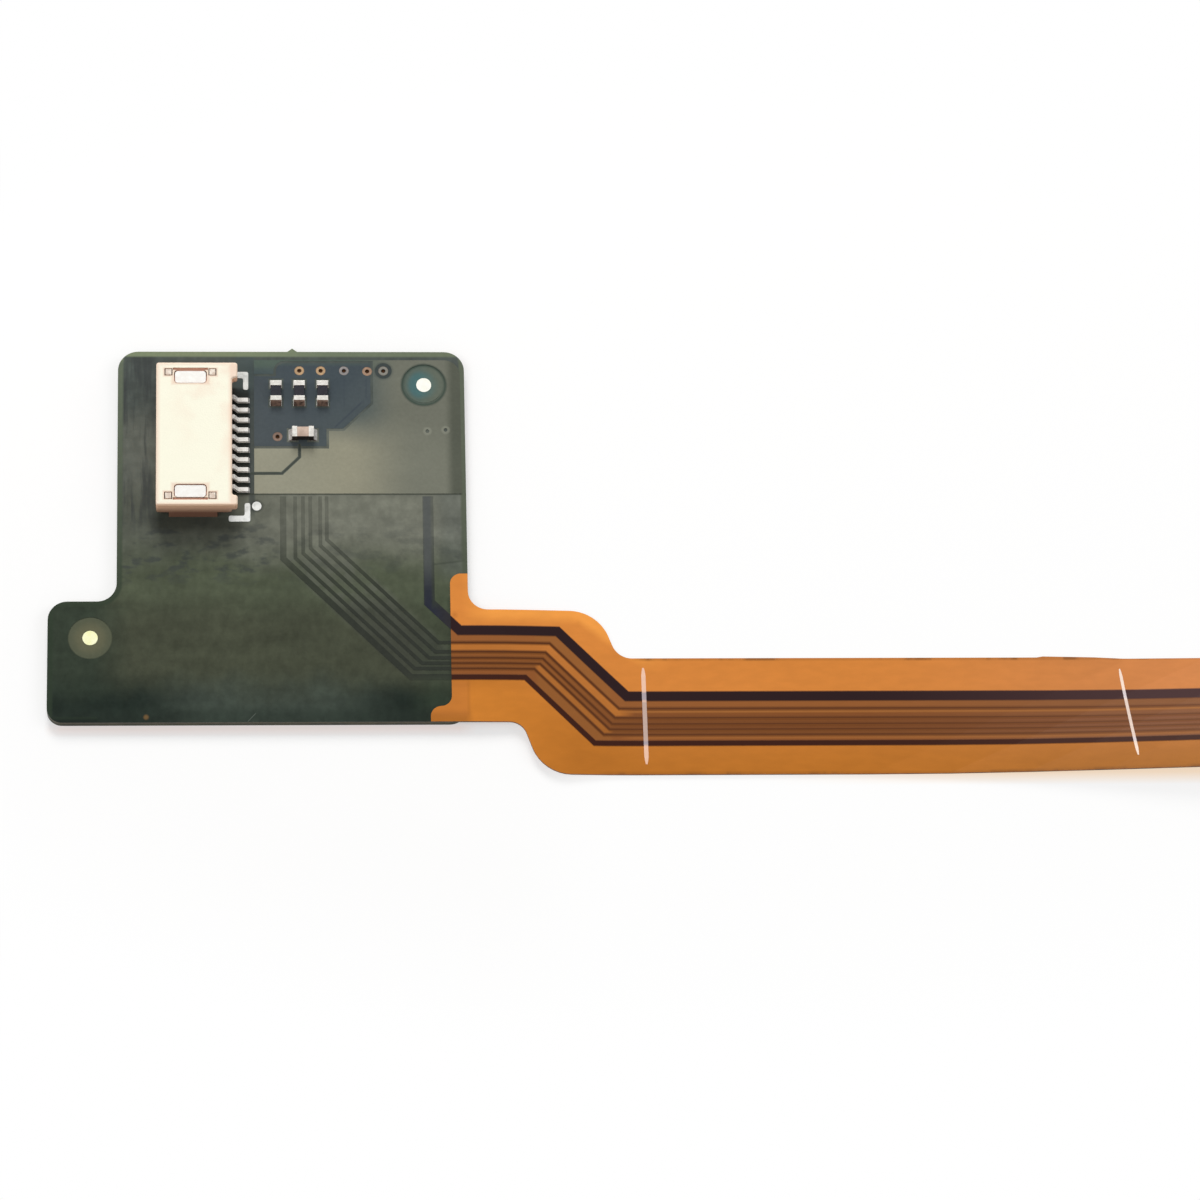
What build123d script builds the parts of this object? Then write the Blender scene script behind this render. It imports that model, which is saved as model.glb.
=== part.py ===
from build123d import *

import os
from math import cos, radians, sin, sqrt

# A flexible display cable.
# A stiffened board end carries a ten-way connector and four chips.
# A jogged film tail leaves its corner, comes down to the table and ends in contact fingers.
# Sizes are in millimetres. The origin is the centre of the board end's underside.
# +X runs along the tail, +Y across the board end towards its row of vias, and +Z up.

# Board end
board_width = 16.2
board_length = 18.4
board_corner = 0.95
ear_reach = 3.15
ear_height = 5.9
ear_corner = 0.9
ear_low_corner = 0.7
inside_corner = 0.9
nub_place = 0.04
nub_half_width = 0.23
nub_height = 0.17

# Tail, as cut from the film: across from the board end's south edge, along from its east edge
tail_width = 5.66
tail_reach = 41.9
tail_rise = 3.17
neck_rise = 5.48
jog_set_out = 6.0
jog_lean = 0.9
jog_outer_radius = 1.9
jog_inner_radius = 0.95
south_jog_set_out = 2.39
south_jog_radius = 0.8
tail_end_corner = 0.3
burr_set_out = 26.4
burr_length = 2.7
burr_height = 0.05
cut_step = 0.07

# Layers of the laminate
stiffener_thickness = 0.30
adhesive_thickness = 0.04
bottom_coverlay_thickness = 0.05
base_film_thickness = 0.03
copper_thickness = 0.02
mask_thickness = 0.04
coverlay_thickness = 0.05
relief_height = 0.008
relief_margin = 0.03

# How the film lies: down from the board to the table, then curling up along slanting lines
ramp_set_out = 0.5
ramp_length = 7.0
ramp_steps = 6
flat_set_out = 12.9
curl_set_out = 30.9
curl_angle = 65.5
curl_run = 12.0
curl_height = 1.68
curl_steps = 8

# Tail conductors, from north to south
power_width = 0.44
signal_width = 0.11
ground_width = 0.23
power_rise = 4.45
power_set_out = 4.12
conductor_drop = 3.14
run_steps = [0.60, 0.45, 0.30, 0.26, 0.26, 0.42]
jog_steps = [0.69, 0.46, 0.31, 0.27, 0.38, 0.60]

# Contact fingers at the tail's end
finger_pitch = 0.62
finger_width = 0.36
finger_length = 3.6
finger_end_gap = 0.1
fan_length = 1.6
end_stiffener_length = 4.6
end_stiffener_thickness = 0.12

# Conductors under the board's mask: risers across from the contacts' tips,
# and their bends into the tail in from the board end's east edge
power_riser_inset = 1.79
riser_steps = [3.63, 3.33, 2.87, 2.53, 2.17, 1.61]
riser_gap = 0.14
bend_insets = [0.42, 1.40, 1.55, 1.84, 2.17, 2.51, 2.68]

# Window in the mask where the amber film shows
window_inset = 0.82
window_foot_inset = 1.8
window_top_rise = 7.25
window_foot_rise = 0.75
window_corner = 0.5

# Return plane under the tail, slit into three where the tail jogs
plane_inset = 0.9
plane_slit = 8.4
plane_finger_gap = 0.8

# Copper areas under the mask: down from the north edge, across from the contacts' tips
pour_gap = 0.12
pour_land_gap = 0.20
power_pour_drop = 0.58
power_pour_west = 1.31
power_pour_west_drop = 1.25
power_pour_step_drop = 4.78
power_pour_notch_drop = 3.89
power_pour_east = 5.73
power_pour_cut = 1.30
power_pour_shoulder = 3.65
ground_pour_drop = 0.42
ground_pour_inset = 0.20
ground_pour_foot_drop = 7.16
pour_corner = 0.4
pad_clearance = 0.08
capacitor_trace_width = 0.10
capacitor_trace_clearance = 0.03
capacitor_trace_shift = 0.16
capacitor_trace_drop = 1.10
capacitor_trace_row_gap = 0.155

# Round alignment pads, each placed from its own corner of the board end
align_pad_diameter = 0.70
align_pad_east_inset = (1.90, 1.68)
align_pad_west_inset = (1.95, 4.11)
pad_ring_radius = 1.04
pad_ring_width = 0.14
pad_field_diameter = 2.05
recess_depth = 0.015

# Vias: across from the contacts' tips and down from the north edge, the lone one in the ground pour
via_steps = [(2.40, 0.96), (3.40, 0.96), (4.49, 0.96), (5.58, 0.99), (1.37, 4.30)]
lone_via_step = (6.34, 0.97)
lone_via_clearance = 0.17
via_land = 0.46
via_barrel = 0.28
via_hole = 0.18

# Vias under the mask: in from the east edge and down from the north edge
tented_insets = [(1.76, 4.02), (0.91, 3.96)]

# Connector housing
connector_inset = 1.81
connector_drop = 1.17
housing_depth = 3.51
housing_length = 7.15
housing_height = 1.50
housing_edge = 0.06
housing_corner = 0.12
housing_ear = 0.25
housing_ear_lengths = (0.76, 0.52)
housing_ear_thickness = 0.55
foot_shift = -0.05
foot_length = 2.24
foot_rise = 0.60
foot_set_back = 0.5
mouth_end_wall = 0.775
mouth_height = 0.38
mouth_depth = 2.6
mouth_centre = 0.66
mouth_lead_in = 0.15

# Contacts
contact_count = 10
contact_pitch = 0.5
contact_thickness = 0.20
strip_thickness = 0.14
channel_depth = 2.80
channel_floor = 0.14
channel_roof = 1.16
channel_clearance = 0.03
lead_reach = 0.75
lead_foot = 0.46
lead_slope = 0.18
lead_shoulder = 0.52
lead_bend = 0.06
toe_reach = 0.08
heel_reach = 0.06
contact_set_back = 0.08
contact_root = 0.66
contact_arm = 2.62
contact_bump = 0.16

# Hold-down fittings
fitting_shift = -0.17
fitting_inset = 0.38
fitting_tab = (1.52, 0.68)
fitting_tab_corner = 0.18
fitting_sheet = 0.12
fitting_sink = 0.05
fitting_plate_width = 1.90
fitting_post = 0.28
fitting_post_spacing = 2.04
fitting_post_height = 0.70
fitting_clearance = 0.045
fitting_groove_inset = 0.33
fitting_groove = (1.62, 0.12)
fitting_groove_depth = 0.12
fitting_land_width = 0.48

# Chips
solder_film = 0.012
resistor_step = 1.30
resistor_spacing = 1.09
resistor_count = 3
resistor_drop = 2.10
resistor_size = (1.00, 0.52, 0.35)
capacitor_step = (2.55, 4.23)
capacitor_size = (1.02, 0.54, 0.50)
chip_terminal = 0.24
terminal_wall = 0.03
terminal_edge = 0.025
land_reach = 0.16
land_side = 0.015
toe_height = 0.16

# Heights above the table on the board end
film_low = stiffener_thickness + adhesive_thickness
core_low = bottom_coverlay_thickness
core_high = core_low + base_film_thickness
copper_high = core_high + copper_thickness
coverlay_high = core_high + coverlay_thickness
land_base = film_low + core_high
board_face = land_base + mask_thickness

# Places worked out from the sizes
east = board_width / 2
north = board_length / 2
south = -north
ear_west = -east - ear_reach
ear_top = south + ear_height
neck_north = south + neck_rise
tail_north = south + tail_rise
tail_south = tail_north - tail_width
tail_end = east + tail_reach
stepped_north = tail_north - cut_step
jog_start = east + jog_set_out
south_jog_start = east + south_jog_set_out
burr_start = east + burr_set_out
ramp_start = east + ramp_set_out
flat_place = east + flat_set_out
finger_start = tail_end - finger_length
film_reach = tail_end + board_length
plane_start = east - plane_inset
plane_slit_end = plane_start + plane_slit
plane_stop = finger_start - plane_finger_gap
housing_west = -east + connector_inset
housing_east = housing_west + housing_depth
housing_top = board_face + housing_height
connector_x = housing_west + housing_depth / 2
connector_y = north - connector_drop - housing_length / 2
contact_tip = housing_east + lead_reach
contact_rows = [connector_y + contact_pitch * ((contact_count - 1) / 2 - i) for i in range(contact_count)]
fitting_x = connector_x + fitting_shift
foot_middle = connector_x + foot_shift
fitting_tab_spacing = housing_length - 2 * fitting_inset - fitting_tab[1]
fitting_plate_spacing = housing_length - 2 * fitting_inset - 2 * fitting_clearance - fitting_sheet
align_pad_east = (east - align_pad_east_inset[0], north - align_pad_east_inset[1])
align_pad_west = (ear_west + align_pad_west_inset[0], south + align_pad_west_inset[1])
lone_via = (contact_tip + lone_via_step[0], north - lone_via_step[1])
via_places = [(contact_tip + across, north - drop) for across, drop in via_steps] + [lone_via]
tented_places = [(east - inset, north - drop) for inset, drop in tented_insets]
resistor_places = [contact_tip + resistor_step + resistor_spacing * i for i in range(resistor_count)]
resistor_y = north - resistor_drop
capacitor_place = (contact_tip + capacitor_step[0], north - capacitor_step[1])


def ease(t):
    """A smooth rise from 0 to 1."""
    return 3 * t**2 - 2 * t**3


def ribbon(points, width):
    """Outline points of a flat strip of one width that follows a bent centre line."""
    left = []
    right = []
    last = len(points) - 1
    for i, point in enumerate(points):
        here = Vector(*point)
        way_in = here - Vector(*points[i - 1]) if i > 0 else Vector(*points[1]) - here
        way_out = Vector(*points[i + 1]) - here if i < last else way_in
        bisector = way_in.normalized() + way_out.normalized()
        side = Vector(-bisector.Y, bisector.X).normalized()
        square = Vector(-way_in.Y, way_in.X).normalized()
        reach = width / 2 / side.dot(square)
        left.append(here + side * reach)
        right.append(here - side * reach)
    return [(v.X, v.Y) for v in left + right[::-1]]


def board_sketch():
    """The board end from above."""
    with BuildSketch() as face:
        with BuildLine():
            FilletPolyline(
                (-east, north), (nub_place - nub_half_width, north), (nub_place, north + nub_height),
                (nub_place + nub_half_width, north), (east, north), (east, south),
                (ear_west, south), (ear_west, ear_top), (-east, ear_top),
                radius=[board_corner, 0, 0, 0, board_corner, board_corner,
                        ear_low_corner, ear_corner, inside_corner],
                close=True,
            )
        make_face()
    return face.sketch


def mask_sketch():
    """The green area from above: the board end without the window where the film is bare."""
    with BuildSketch() as face:
        add(board_sketch())
        with BuildLine():
            FilletPolyline(
                (east + window_inset, south + window_top_rise),
                (east - window_inset, south + window_top_rise),
                (east - window_inset, south + window_foot_rise),
                (east - window_foot_inset, south + window_foot_rise),
                (east - window_foot_inset, south - window_foot_rise),
                (east + window_inset, south - window_foot_rise),
                radius=[0, window_corner, window_corner, window_corner, 0, 0],
                close=True,
            )
        make_face(mode=Mode.SUBTRACT)
    return face.sketch


def film_sketch():
    """The whole film from above: the board end with the jogged tail."""
    burr_end = burr_start + burr_length
    with BuildSketch() as face:
        with BuildLine():
            FilletPolyline(
                (-east, north), (nub_place - nub_half_width, north), (nub_place, north + nub_height),
                (nub_place + nub_half_width, north), (east, north),
                (east, neck_north), (jog_start, neck_north), (jog_start + jog_lean, tail_north),
                (burr_start, tail_north), (burr_start + burr_height * 6, tail_north + burr_height),
                (burr_end, tail_north), (burr_end + burr_length / 2, stepped_north),
                (tail_end, stepped_north), (tail_end, tail_south),
                (south_jog_start + jog_lean, tail_south), (south_jog_start, south),
                (ear_west, south), (ear_west, ear_top), (-east, ear_top),
                radius=[board_corner, 0, 0, 0, board_corner, inside_corner,
                        jog_outer_radius, jog_inner_radius, 0, 0, 0, 0,
                        tail_end_corner, tail_end_corner, jog_outer_radius, south_jog_radius,
                        ear_low_corner, ear_corner, inside_corner],
                close=True,
            )
        make_face()
    return face.sketch


def strip_sketch(points, width):
    """One flat strip along a bent centre line."""
    with BuildSketch() as face:
        Polygon(*ribbon(points, width), align=None)
    return face.sketch


def disc_sketch(places, diameter):
    """Round spots at the given places."""
    with BuildSketch() as face:
        with Locations(*places):
            Circle(diameter / 2)
    return face.sketch


def field_sketch(first, second, stop):
    """The field between two tail conductors, from the board to one place along the tail."""
    edges = []
    for line in (lines[first], lines[second]):
        bend, level = line[3], line[4]
        edges.append([(plane_start, bend[1]), bend, level, (stop, level[1])])
    with BuildSketch() as face:
        Polygon(*edges[0], *edges[1][::-1], align=None)
    return face.sketch


def film_space(low, high):
    """The space between two heights in the film's stack, wherever the film lies."""
    ramp = [(-film_reach, film_low)]
    for i in range(ramp_steps + 1):
        part = i / ramp_steps
        ramp.append((ramp_start + ramp_length * part, film_low * (1 - ease(part))))
    ramp.append((flat_place, 0))
    curl = [(-film_reach, 0)]
    for i in range(curl_steps + 1):
        part = i / curl_steps
        curl.append((curl_run * part, curl_height * ease(part)))
    curl.append((film_reach, curl_height))
    along = cos(radians(curl_angle))
    across = sin(radians(curl_angle))
    curl_plane = Plane(
        origin=(east + curl_set_out, tail_north, 0),
        x_dir=(along, -across, 0),
        z_dir=(-across, -along, 0),
    )
    with BuildPart() as lifted:
        with BuildSketch(curl_plane):
            Polygon(
                *[(x, z + low) for x, z in curl],
                *[(x, z + high) for x, z in reversed(curl)],
                align=None,
            )
        extrude(amount=film_reach, both=True)
        split(bisect_by=Plane.YZ.offset(flat_place), keep=Keep.TOP)
    with BuildPart() as space:
        with BuildSketch(Plane.XZ):
            Polygon(
                *[(x, z + low) for x, z in ramp],
                *[(x, z + high) for x, z in reversed(ramp)],
                align=None,
            )
        extrude(amount=film_reach, both=True)
        add(lifted.part)
    return space.part


def film_layer(sketch, space):
    """A flat shape of the film, laid in one layer of the film's stack."""
    with BuildPart() as layer:
        with BuildSketch():
            add(sketch)
        extrude(amount=film_reach)
        add(space, mode=Mode.INTERSECT)
    return layer.part


def flat_layer(sketch, low, high):
    """A flat shape of the board end between two heights above the table."""
    with BuildPart() as layer:
        with BuildSketch(Plane.XY.offset(low)):
            add(sketch)
        extrude(amount=high - low)
    return layer.part


def finish(part, name):
    """Label one piece and write it."""
    part.label = name
    export_step(part, f"parts/{name}.step")


os.makedirs("parts", exist_ok=True)

# Centre lines of the seven conductors, from the board's mask to their fingers
ground_pour_foot = north - ground_pour_foot_drop
riser_top = ground_pour_foot - riser_gap
risers = [east - power_riser_inset] + [contact_tip + across for across in riser_steps]
lines = []
line_y = south + power_rise
jog_sum = east + power_set_out + line_y
finger_middle = (stepped_north + tail_south) / 2
for i, (riser, bend_inset) in enumerate(zip(risers, bend_insets)):
    if i > 0:
        line_y -= run_steps[i - 1]
        jog_sum -= jog_steps[i - 1] * sqrt(2)
    bend = east - bend_inset
    finger_y = finger_middle + finger_pitch * (3 - i)
    lines.append([
        (riser, riser_top),
        (riser, line_y + bend - riser),
        (bend, line_y),
        (jog_sum - line_y, line_y),
        (jog_sum - line_y + conductor_drop, line_y - conductor_drop),
        (finger_start - fan_length, line_y - conductor_drop),
        (finger_start, finger_y),
        (tail_end - finger_end_gap, finger_y),
    ])

signal_names = [f"signal_conductor_{i}" for i in range(1, 6)]
conductor_names = ["power_conductor"] + signal_names + ["ground_conductor"]
conductor_widths = [power_width] + [signal_width] * 5 + [ground_width]
conductor_shapes = []
for line, width in zip(lines, conductor_widths):
    with BuildSketch() as shape:
        add(strip_sketch(line, width))
        add(strip_sketch(line[-2:], finger_width))
    conductor_shapes.append(shape.sketch)

# Lands of the chips, the connector's contacts and its hold-down fittings
resistor_length, resistor_width, resistor_height = resistor_size
capacitor_length, capacitor_width, capacitor_height = capacitor_size
land_length = chip_terminal + land_reach
land_width = resistor_width + 2 * land_side
resistor_land_shift = resistor_length / 2 - chip_terminal + land_length / 2
capacitor_land_shift = capacitor_length / 2 - chip_terminal + land_length / 2
with BuildSketch() as chip_land_shape:
    for x in resistor_places:
        with Locations((x, resistor_y + resistor_land_shift), (x, resistor_y - resistor_land_shift)):
            Rectangle(land_width, land_length)
    with Locations(
        (capacitor_place[0] - capacitor_land_shift, capacitor_place[1]),
        (capacitor_place[0] + capacitor_land_shift, capacitor_place[1]),
    ):
        Rectangle(land_length, land_width)

contact_land_east = contact_tip + toe_reach
contact_land_length = toe_reach + lead_foot + heel_reach
with BuildSketch() as contact_land_shape:
    with Locations((contact_land_east - contact_land_length / 2, connector_y)):
        with GridLocations(1, contact_pitch, 1, contact_count):
            Rectangle(contact_land_length, contact_thickness + 2 * land_side)

with BuildSketch() as fitting_land_shape:
    with Locations((foot_middle, connector_y)):
        with GridLocations(1, fitting_plate_spacing, 1, 2):
            Rectangle(foot_length, fitting_land_width)

# Trace from the capacitor to the connector's eighth contact
trace_x = capacitor_place[0] - capacitor_trace_shift
trace_bend = capacitor_place[1] - capacitor_trace_drop
trace_low = contact_rows[7] - capacitor_trace_row_gap
capacitor_trace = [
    (trace_x, capacitor_place[1] - capacitor_width / 2 - land_reach),
    (trace_x, trace_bend),
    (trace_x - trace_bend + trace_low, trace_low),
    (contact_land_east, trace_low),
]
capacitor_trace_shape = strip_sketch(capacitor_trace, capacitor_trace_width)

# Copper areas of the board end
with BuildSketch() as land_room:
    add(chip_land_shape.sketch)
    offset(amount=pad_clearance, kind=Kind.INTERSECTION)
via_room = disc_sketch(via_places, via_land)
lone_via_room = disc_sketch([lone_via], via_land + 2 * lone_via_clearance)
trace_room = strip_sketch(capacitor_trace, capacitor_trace_width + 2 * capacitor_trace_clearance)

pour_west = contact_land_east + pour_land_gap
power_pour_notch = north - power_pour_notch_drop
with BuildSketch() as power_area:
    with BuildLine():
        FilletPolyline(
            (pour_west, north - power_pour_west_drop),
            (contact_tip + power_pour_west, north - power_pour_west_drop),
            (contact_tip + power_pour_west, north - power_pour_drop),
            (contact_tip + power_pour_east, north - power_pour_drop),
            (contact_tip + power_pour_east, power_pour_notch + power_pour_cut),
            (contact_tip + power_pour_east - power_pour_cut, power_pour_notch),
            (contact_tip + power_pour_shoulder, power_pour_notch),
            (contact_tip + power_pour_shoulder, north - power_pour_step_drop),
            (pour_west, north - power_pour_step_drop),
            radius=[0, 0, pour_corner, 0, 0, 0, 0, 0, 0],
            close=True,
        )
    make_face()

with BuildSketch() as power_pour_shape:
    add(power_area.sketch)
    add(land_room.sketch, mode=Mode.SUBTRACT)
    add(via_room, mode=Mode.SUBTRACT)
    add(trace_room, mode=Mode.SUBTRACT)

with BuildSketch() as power_area_room:
    add(power_area.sketch)
    offset(amount=pour_gap, kind=Kind.INTERSECTION)

with BuildSketch() as ground_pour_shape:
    with BuildLine():
        FilletPolyline(
            (pour_west, ground_pour_foot),
            (east - ground_pour_inset, ground_pour_foot),
            (east - ground_pour_inset, north - ground_pour_drop),
            (pour_west, north - ground_pour_drop),
            radius=[0, 0, board_corner - ground_pour_inset, 0],
            close=True,
        )
    make_face()
    add(power_area_room.sketch, mode=Mode.SUBTRACT)
    add(land_room.sketch, mode=Mode.SUBTRACT)
    add(lone_via_room, mode=Mode.SUBTRACT)
    add(trace_room, mode=Mode.SUBTRACT)
    add(disc_sketch(tented_places, via_land), mode=Mode.SUBTRACT)
    add(disc_sketch([align_pad_east], 2 * pad_ring_radius), mode=Mode.SUBTRACT)

# Board stiffener and its adhesive
with BuildPart() as board_stiffener:
    with BuildSketch():
        add(board_sketch())
    extrude(amount=stiffener_thickness)
finish(board_stiffener.part, "board_stiffener")

finish(flat_layer(board_sketch(), stiffener_thickness, film_low), "stiffener_adhesive")

# Return plane, set into the top of the bottom coverlay
with BuildSketch() as return_shape:
    add(field_sketch(0, 6, plane_stop))
    add(field_sketch(0, 6, plane_slit_end), mode=Mode.SUBTRACT)
    for first, second in ((0, 1), (2, 4), (5, 6)):
        add(field_sketch(first, second, plane_slit_end))
return_plane = film_layer(return_shape.sketch, film_space(core_low - copper_thickness, core_low))
finish(return_plane, "return_plane")

with BuildPart() as bottom_coverlay:
    add(film_layer(film_sketch(), film_space(0, core_low)))
    add(return_plane, mode=Mode.SUBTRACT)
finish(bottom_coverlay.part, "bottom_coverlay")

# Base film with its plated holes
with BuildPart() as base_film:
    add(film_layer(film_sketch(), film_space(core_low, core_high)))
    with BuildSketch(Plane.XY.offset(film_low)):
        add(disc_sketch(via_places + tented_places, via_barrel))
    extrude(amount=core_high, mode=Mode.SUBTRACT)
finish(base_film.part, "base_film")

# Conductors from the board to the fingers
copper_space = film_space(core_high, copper_high)
conductors = [film_layer(shape, copper_space) for shape in conductor_shapes]
for conductor, name in zip(conductors, conductor_names):
    finish(conductor, name)

# Copper areas and the capacitor's trace
copper_top = land_base + copper_thickness
finish(flat_layer(power_pour_shape.sketch, land_base, copper_top), "power_pour")
finish(flat_layer(ground_pour_shape.sketch, land_base, copper_top), "ground_pour")
finish(flat_layer(capacitor_trace_shape, land_base, copper_top), "capacitor_trace")

# Plated holes, two of them covered by the mask
with BuildPart() as via_barrels:
    with BuildSketch(Plane.XY.offset(land_base)):
        add(disc_sketch(via_places, via_land))
    extrude(amount=mask_thickness)
    with BuildSketch(Plane.XY.offset(land_base)):
        add(disc_sketch(tented_places, via_land))
    extrude(amount=copper_thickness)
    with BuildSketch(Plane.XY.offset(land_base)):
        add(disc_sketch(via_places + tented_places, via_barrel))
    extrude(amount=-base_film_thickness)
    with BuildSketch(Plane.XY.offset(board_face)):
        add(disc_sketch(via_places + tented_places, via_hole))
    extrude(amount=-mask_thickness - base_film_thickness, mode=Mode.SUBTRACT)
finish(via_barrels.part, "via_barrels")

# Alignment pads and the tinned lands
land_shapes = {
    "alignment_pad_east": disc_sketch([align_pad_east], align_pad_diameter),
    "alignment_pad_west": disc_sketch([align_pad_west], align_pad_diameter),
    "chip_lands": chip_land_shape.sketch,
    "contact_lands": contact_land_shape.sketch,
    "fitting_lands": fitting_land_shape.sketch,
}
for name, shape in land_shapes.items():
    finish(flat_layer(shape, land_base, board_face), name)

# Solder mask: it fills between the copper and rises slightly over it
with BuildPart() as solder_mask:
    with BuildSketch(Plane.XY.offset(land_base)):
        add(mask_sketch())
    extrude(amount=mask_thickness)
    with BuildSketch(Plane.XY.offset(board_face)):
        for line, width in zip(lines, conductor_widths):
            add(strip_sketch(line, width + 2 * relief_margin))
        add(mask_sketch(), mode=Mode.INTERSECT)
        add(power_pour_shape.sketch)
        add(ground_pour_shape.sketch)
        add(disc_sketch(tented_places, via_land))
        add(capacitor_trace_shape)
    extrude(amount=relief_height)
    with BuildSketch(Plane.XY.offset(land_base)):
        for shape in conductor_shapes:
            add(shape)
        add(power_pour_shape.sketch)
        add(ground_pour_shape.sketch)
        add(disc_sketch(tented_places, via_land))
        add(capacitor_trace_shape)
    extrude(amount=copper_thickness, mode=Mode.SUBTRACT)
    with BuildSketch(Plane.XY.offset(land_base)):
        add(disc_sketch(via_places, via_land))
        for shape in land_shapes.values():
            add(shape)
    extrude(amount=mask_thickness + relief_height, mode=Mode.SUBTRACT)
    with BuildSketch(Plane.XY.offset(board_face - recess_depth)):
        add(disc_sketch([align_pad_east], 2 * pad_ring_radius))
        add(disc_sketch([align_pad_east], 2 * (pad_ring_radius - pad_ring_width)), mode=Mode.SUBTRACT)
        add(disc_sketch([align_pad_west], pad_field_diameter))
        add(disc_sketch([align_pad_west], align_pad_diameter), mode=Mode.SUBTRACT)
        add(disc_sketch(tented_places, via_hole))
    extrude(amount=recess_depth + relief_height, mode=Mode.SUBTRACT)
finish(solder_mask.part, "solder_mask")

# Tail coverlay: it leaves the fingers bare
with BuildSketch() as coverlay_shape:
    add(film_sketch())
    add(mask_sketch(), mode=Mode.SUBTRACT)
    with Locations((finger_start, 0)):
        Rectangle(film_reach, film_reach, align=(Align.MIN, Align.CENTER), mode=Mode.SUBTRACT)
with BuildPart() as tail_coverlay:
    add(film_layer(coverlay_shape.sketch, film_space(core_high, coverlay_high)))
    for conductor in conductors:
        add(conductor, mode=Mode.SUBTRACT)
finish(tail_coverlay.part, "tail_coverlay")

# Plate that backs the fingers
with BuildSketch() as end_shape:
    add(film_sketch())
    with Locations((tail_end - end_stiffener_length, 0)):
        Rectangle(film_reach, film_reach, align=(Align.MIN, Align.CENTER), mode=Mode.INTERSECT)
finish(film_layer(end_shape.sketch, film_space(-end_stiffener_thickness, 0)), "end_stiffener")

# Connector housing
with BuildPart() as connector_housing:
    with BuildSketch(Plane.XY.offset(board_face)):
        with Locations((connector_x, connector_y)):
            Rectangle(housing_depth, housing_length)
    extrude(amount=housing_height)
    for side, ear_length in zip((1, -1), housing_ear_lengths):
        with BuildSketch(Plane.XY.offset(housing_top)):
            with Locations((housing_east, connector_y + side * (housing_length - ear_length) / 2)):
                Rectangle(2 * housing_ear, ear_length)
        extrude(amount=-housing_ear_thickness)
    fillet(connector_housing.edges().filter_by(Axis.Z), radius=housing_corner)
    chamfer(connector_housing.faces().sort_by(Axis.Z)[-1].outer_wire().edges(), length=housing_edge)
    with Locations((foot_middle, connector_y, board_face)):
        with GridLocations(foot_length + housing_depth, housing_length, 2, 2):
            Box(
                housing_depth, 2 * foot_set_back, foot_rise,
                align=(Align.CENTER, Align.CENTER, Align.MIN), mode=Mode.SUBTRACT,
            )
    with BuildSketch(Plane.YZ.offset(housing_west)):
        with Locations((connector_y, board_face + mouth_centre)):
            Rectangle(housing_length - 2 * mouth_end_wall, mouth_height)
    extrude(amount=mouth_depth, mode=Mode.SUBTRACT)
    mouth_rim = connector_housing.faces().sort_by(Axis.X)[0].inner_wires()[0].edges()
    chamfer(mouth_rim, length=mouth_lead_in)
    with Locations((housing_east, connector_y, board_face + channel_floor)):
        with GridLocations(1, contact_pitch, 1, contact_count):
            Box(
                2 * channel_depth, contact_thickness + 2 * channel_clearance, channel_roof - channel_floor,
                align=(Align.CENTER, Align.CENTER, Align.MIN), mode=Mode.SUBTRACT,
            )
    with BuildSketch(Plane.XY.offset(housing_top)):
        with Locations((fitting_x, connector_y)):
            with GridLocations(1, fitting_tab_spacing, 1, 2):
                RectangleRounded(*fitting_tab, radius=fitting_tab_corner)
    extrude(amount=-fitting_sink - fitting_sheet, mode=Mode.SUBTRACT)
    with BuildSketch(Plane.XY.offset(housing_top)):
        with Locations((fitting_x, connector_y)):
            with GridLocations(1, housing_length - 2 * fitting_groove_inset, 1, 2):
                Rectangle(*fitting_groove)
    extrude(amount=-fitting_groove_depth, mode=Mode.SUBTRACT)
    with BuildSketch(Plane.XY.offset(housing_top)):
        with Locations((fitting_x, connector_y)):
            with GridLocations(fitting_post_spacing, fitting_plate_spacing, 2, 2):
                Rectangle(fitting_post + 2 * fitting_clearance, fitting_post + 2 * fitting_clearance)
    extrude(amount=-fitting_post_height, mode=Mode.SUBTRACT)
    with BuildSketch(Plane.XY.offset(board_face)):
        with Locations((fitting_x, connector_y)):
            with GridLocations(1, fitting_plate_spacing, 1, 2):
                Rectangle(
                    fitting_plate_width + 2 * fitting_clearance,
                    fitting_sheet + 2 * fitting_clearance,
                )
    extrude(amount=housing_height - fitting_sink, mode=Mode.SUBTRACT)
finish(connector_housing.part, "connector_housing")

# Hold-down fittings: a plate on the board, a folded tab in the window and two posts
tab_base = housing_height - fitting_sink - fitting_sheet
for side, name in ((1, "hold_down_north"), (-1, "hold_down_south")):
    with BuildPart() as fitting:
        with Locations((fitting_x, connector_y + side * fitting_plate_spacing / 2, board_face)):
            Box(
                fitting_plate_width, fitting_sheet, housing_height - fitting_post_height + fitting_post,
                align=(Align.CENTER, Align.CENTER, Align.MIN),
            )
            Box(
                fitting_tab[0] - 2 * fitting_tab_corner, fitting_sheet, tab_base,
                align=(Align.CENTER, Align.CENTER, Align.MIN),
            )
            with Locations((0, 0, housing_height - fitting_post_height + fitting_clearance)):
                with GridLocations(fitting_post_spacing, 1, 2, 1):
                    Box(
                        fitting_post, fitting_post, fitting_post_height - fitting_sink,
                        align=(Align.CENTER, Align.CENTER, Align.MIN),
                    )
        with BuildSketch(Plane.XY.offset(board_face + tab_base)):
            with Locations((fitting_x, connector_y + side * fitting_tab_spacing / 2)):
                RectangleRounded(
                    fitting_tab[0] - 2 * fitting_clearance, fitting_tab[1] - 2 * fitting_clearance,
                    radius=fitting_tab_corner - fitting_clearance,
                )
        extrude(amount=fitting_sheet)
    finish(fitting.part, name)

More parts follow.
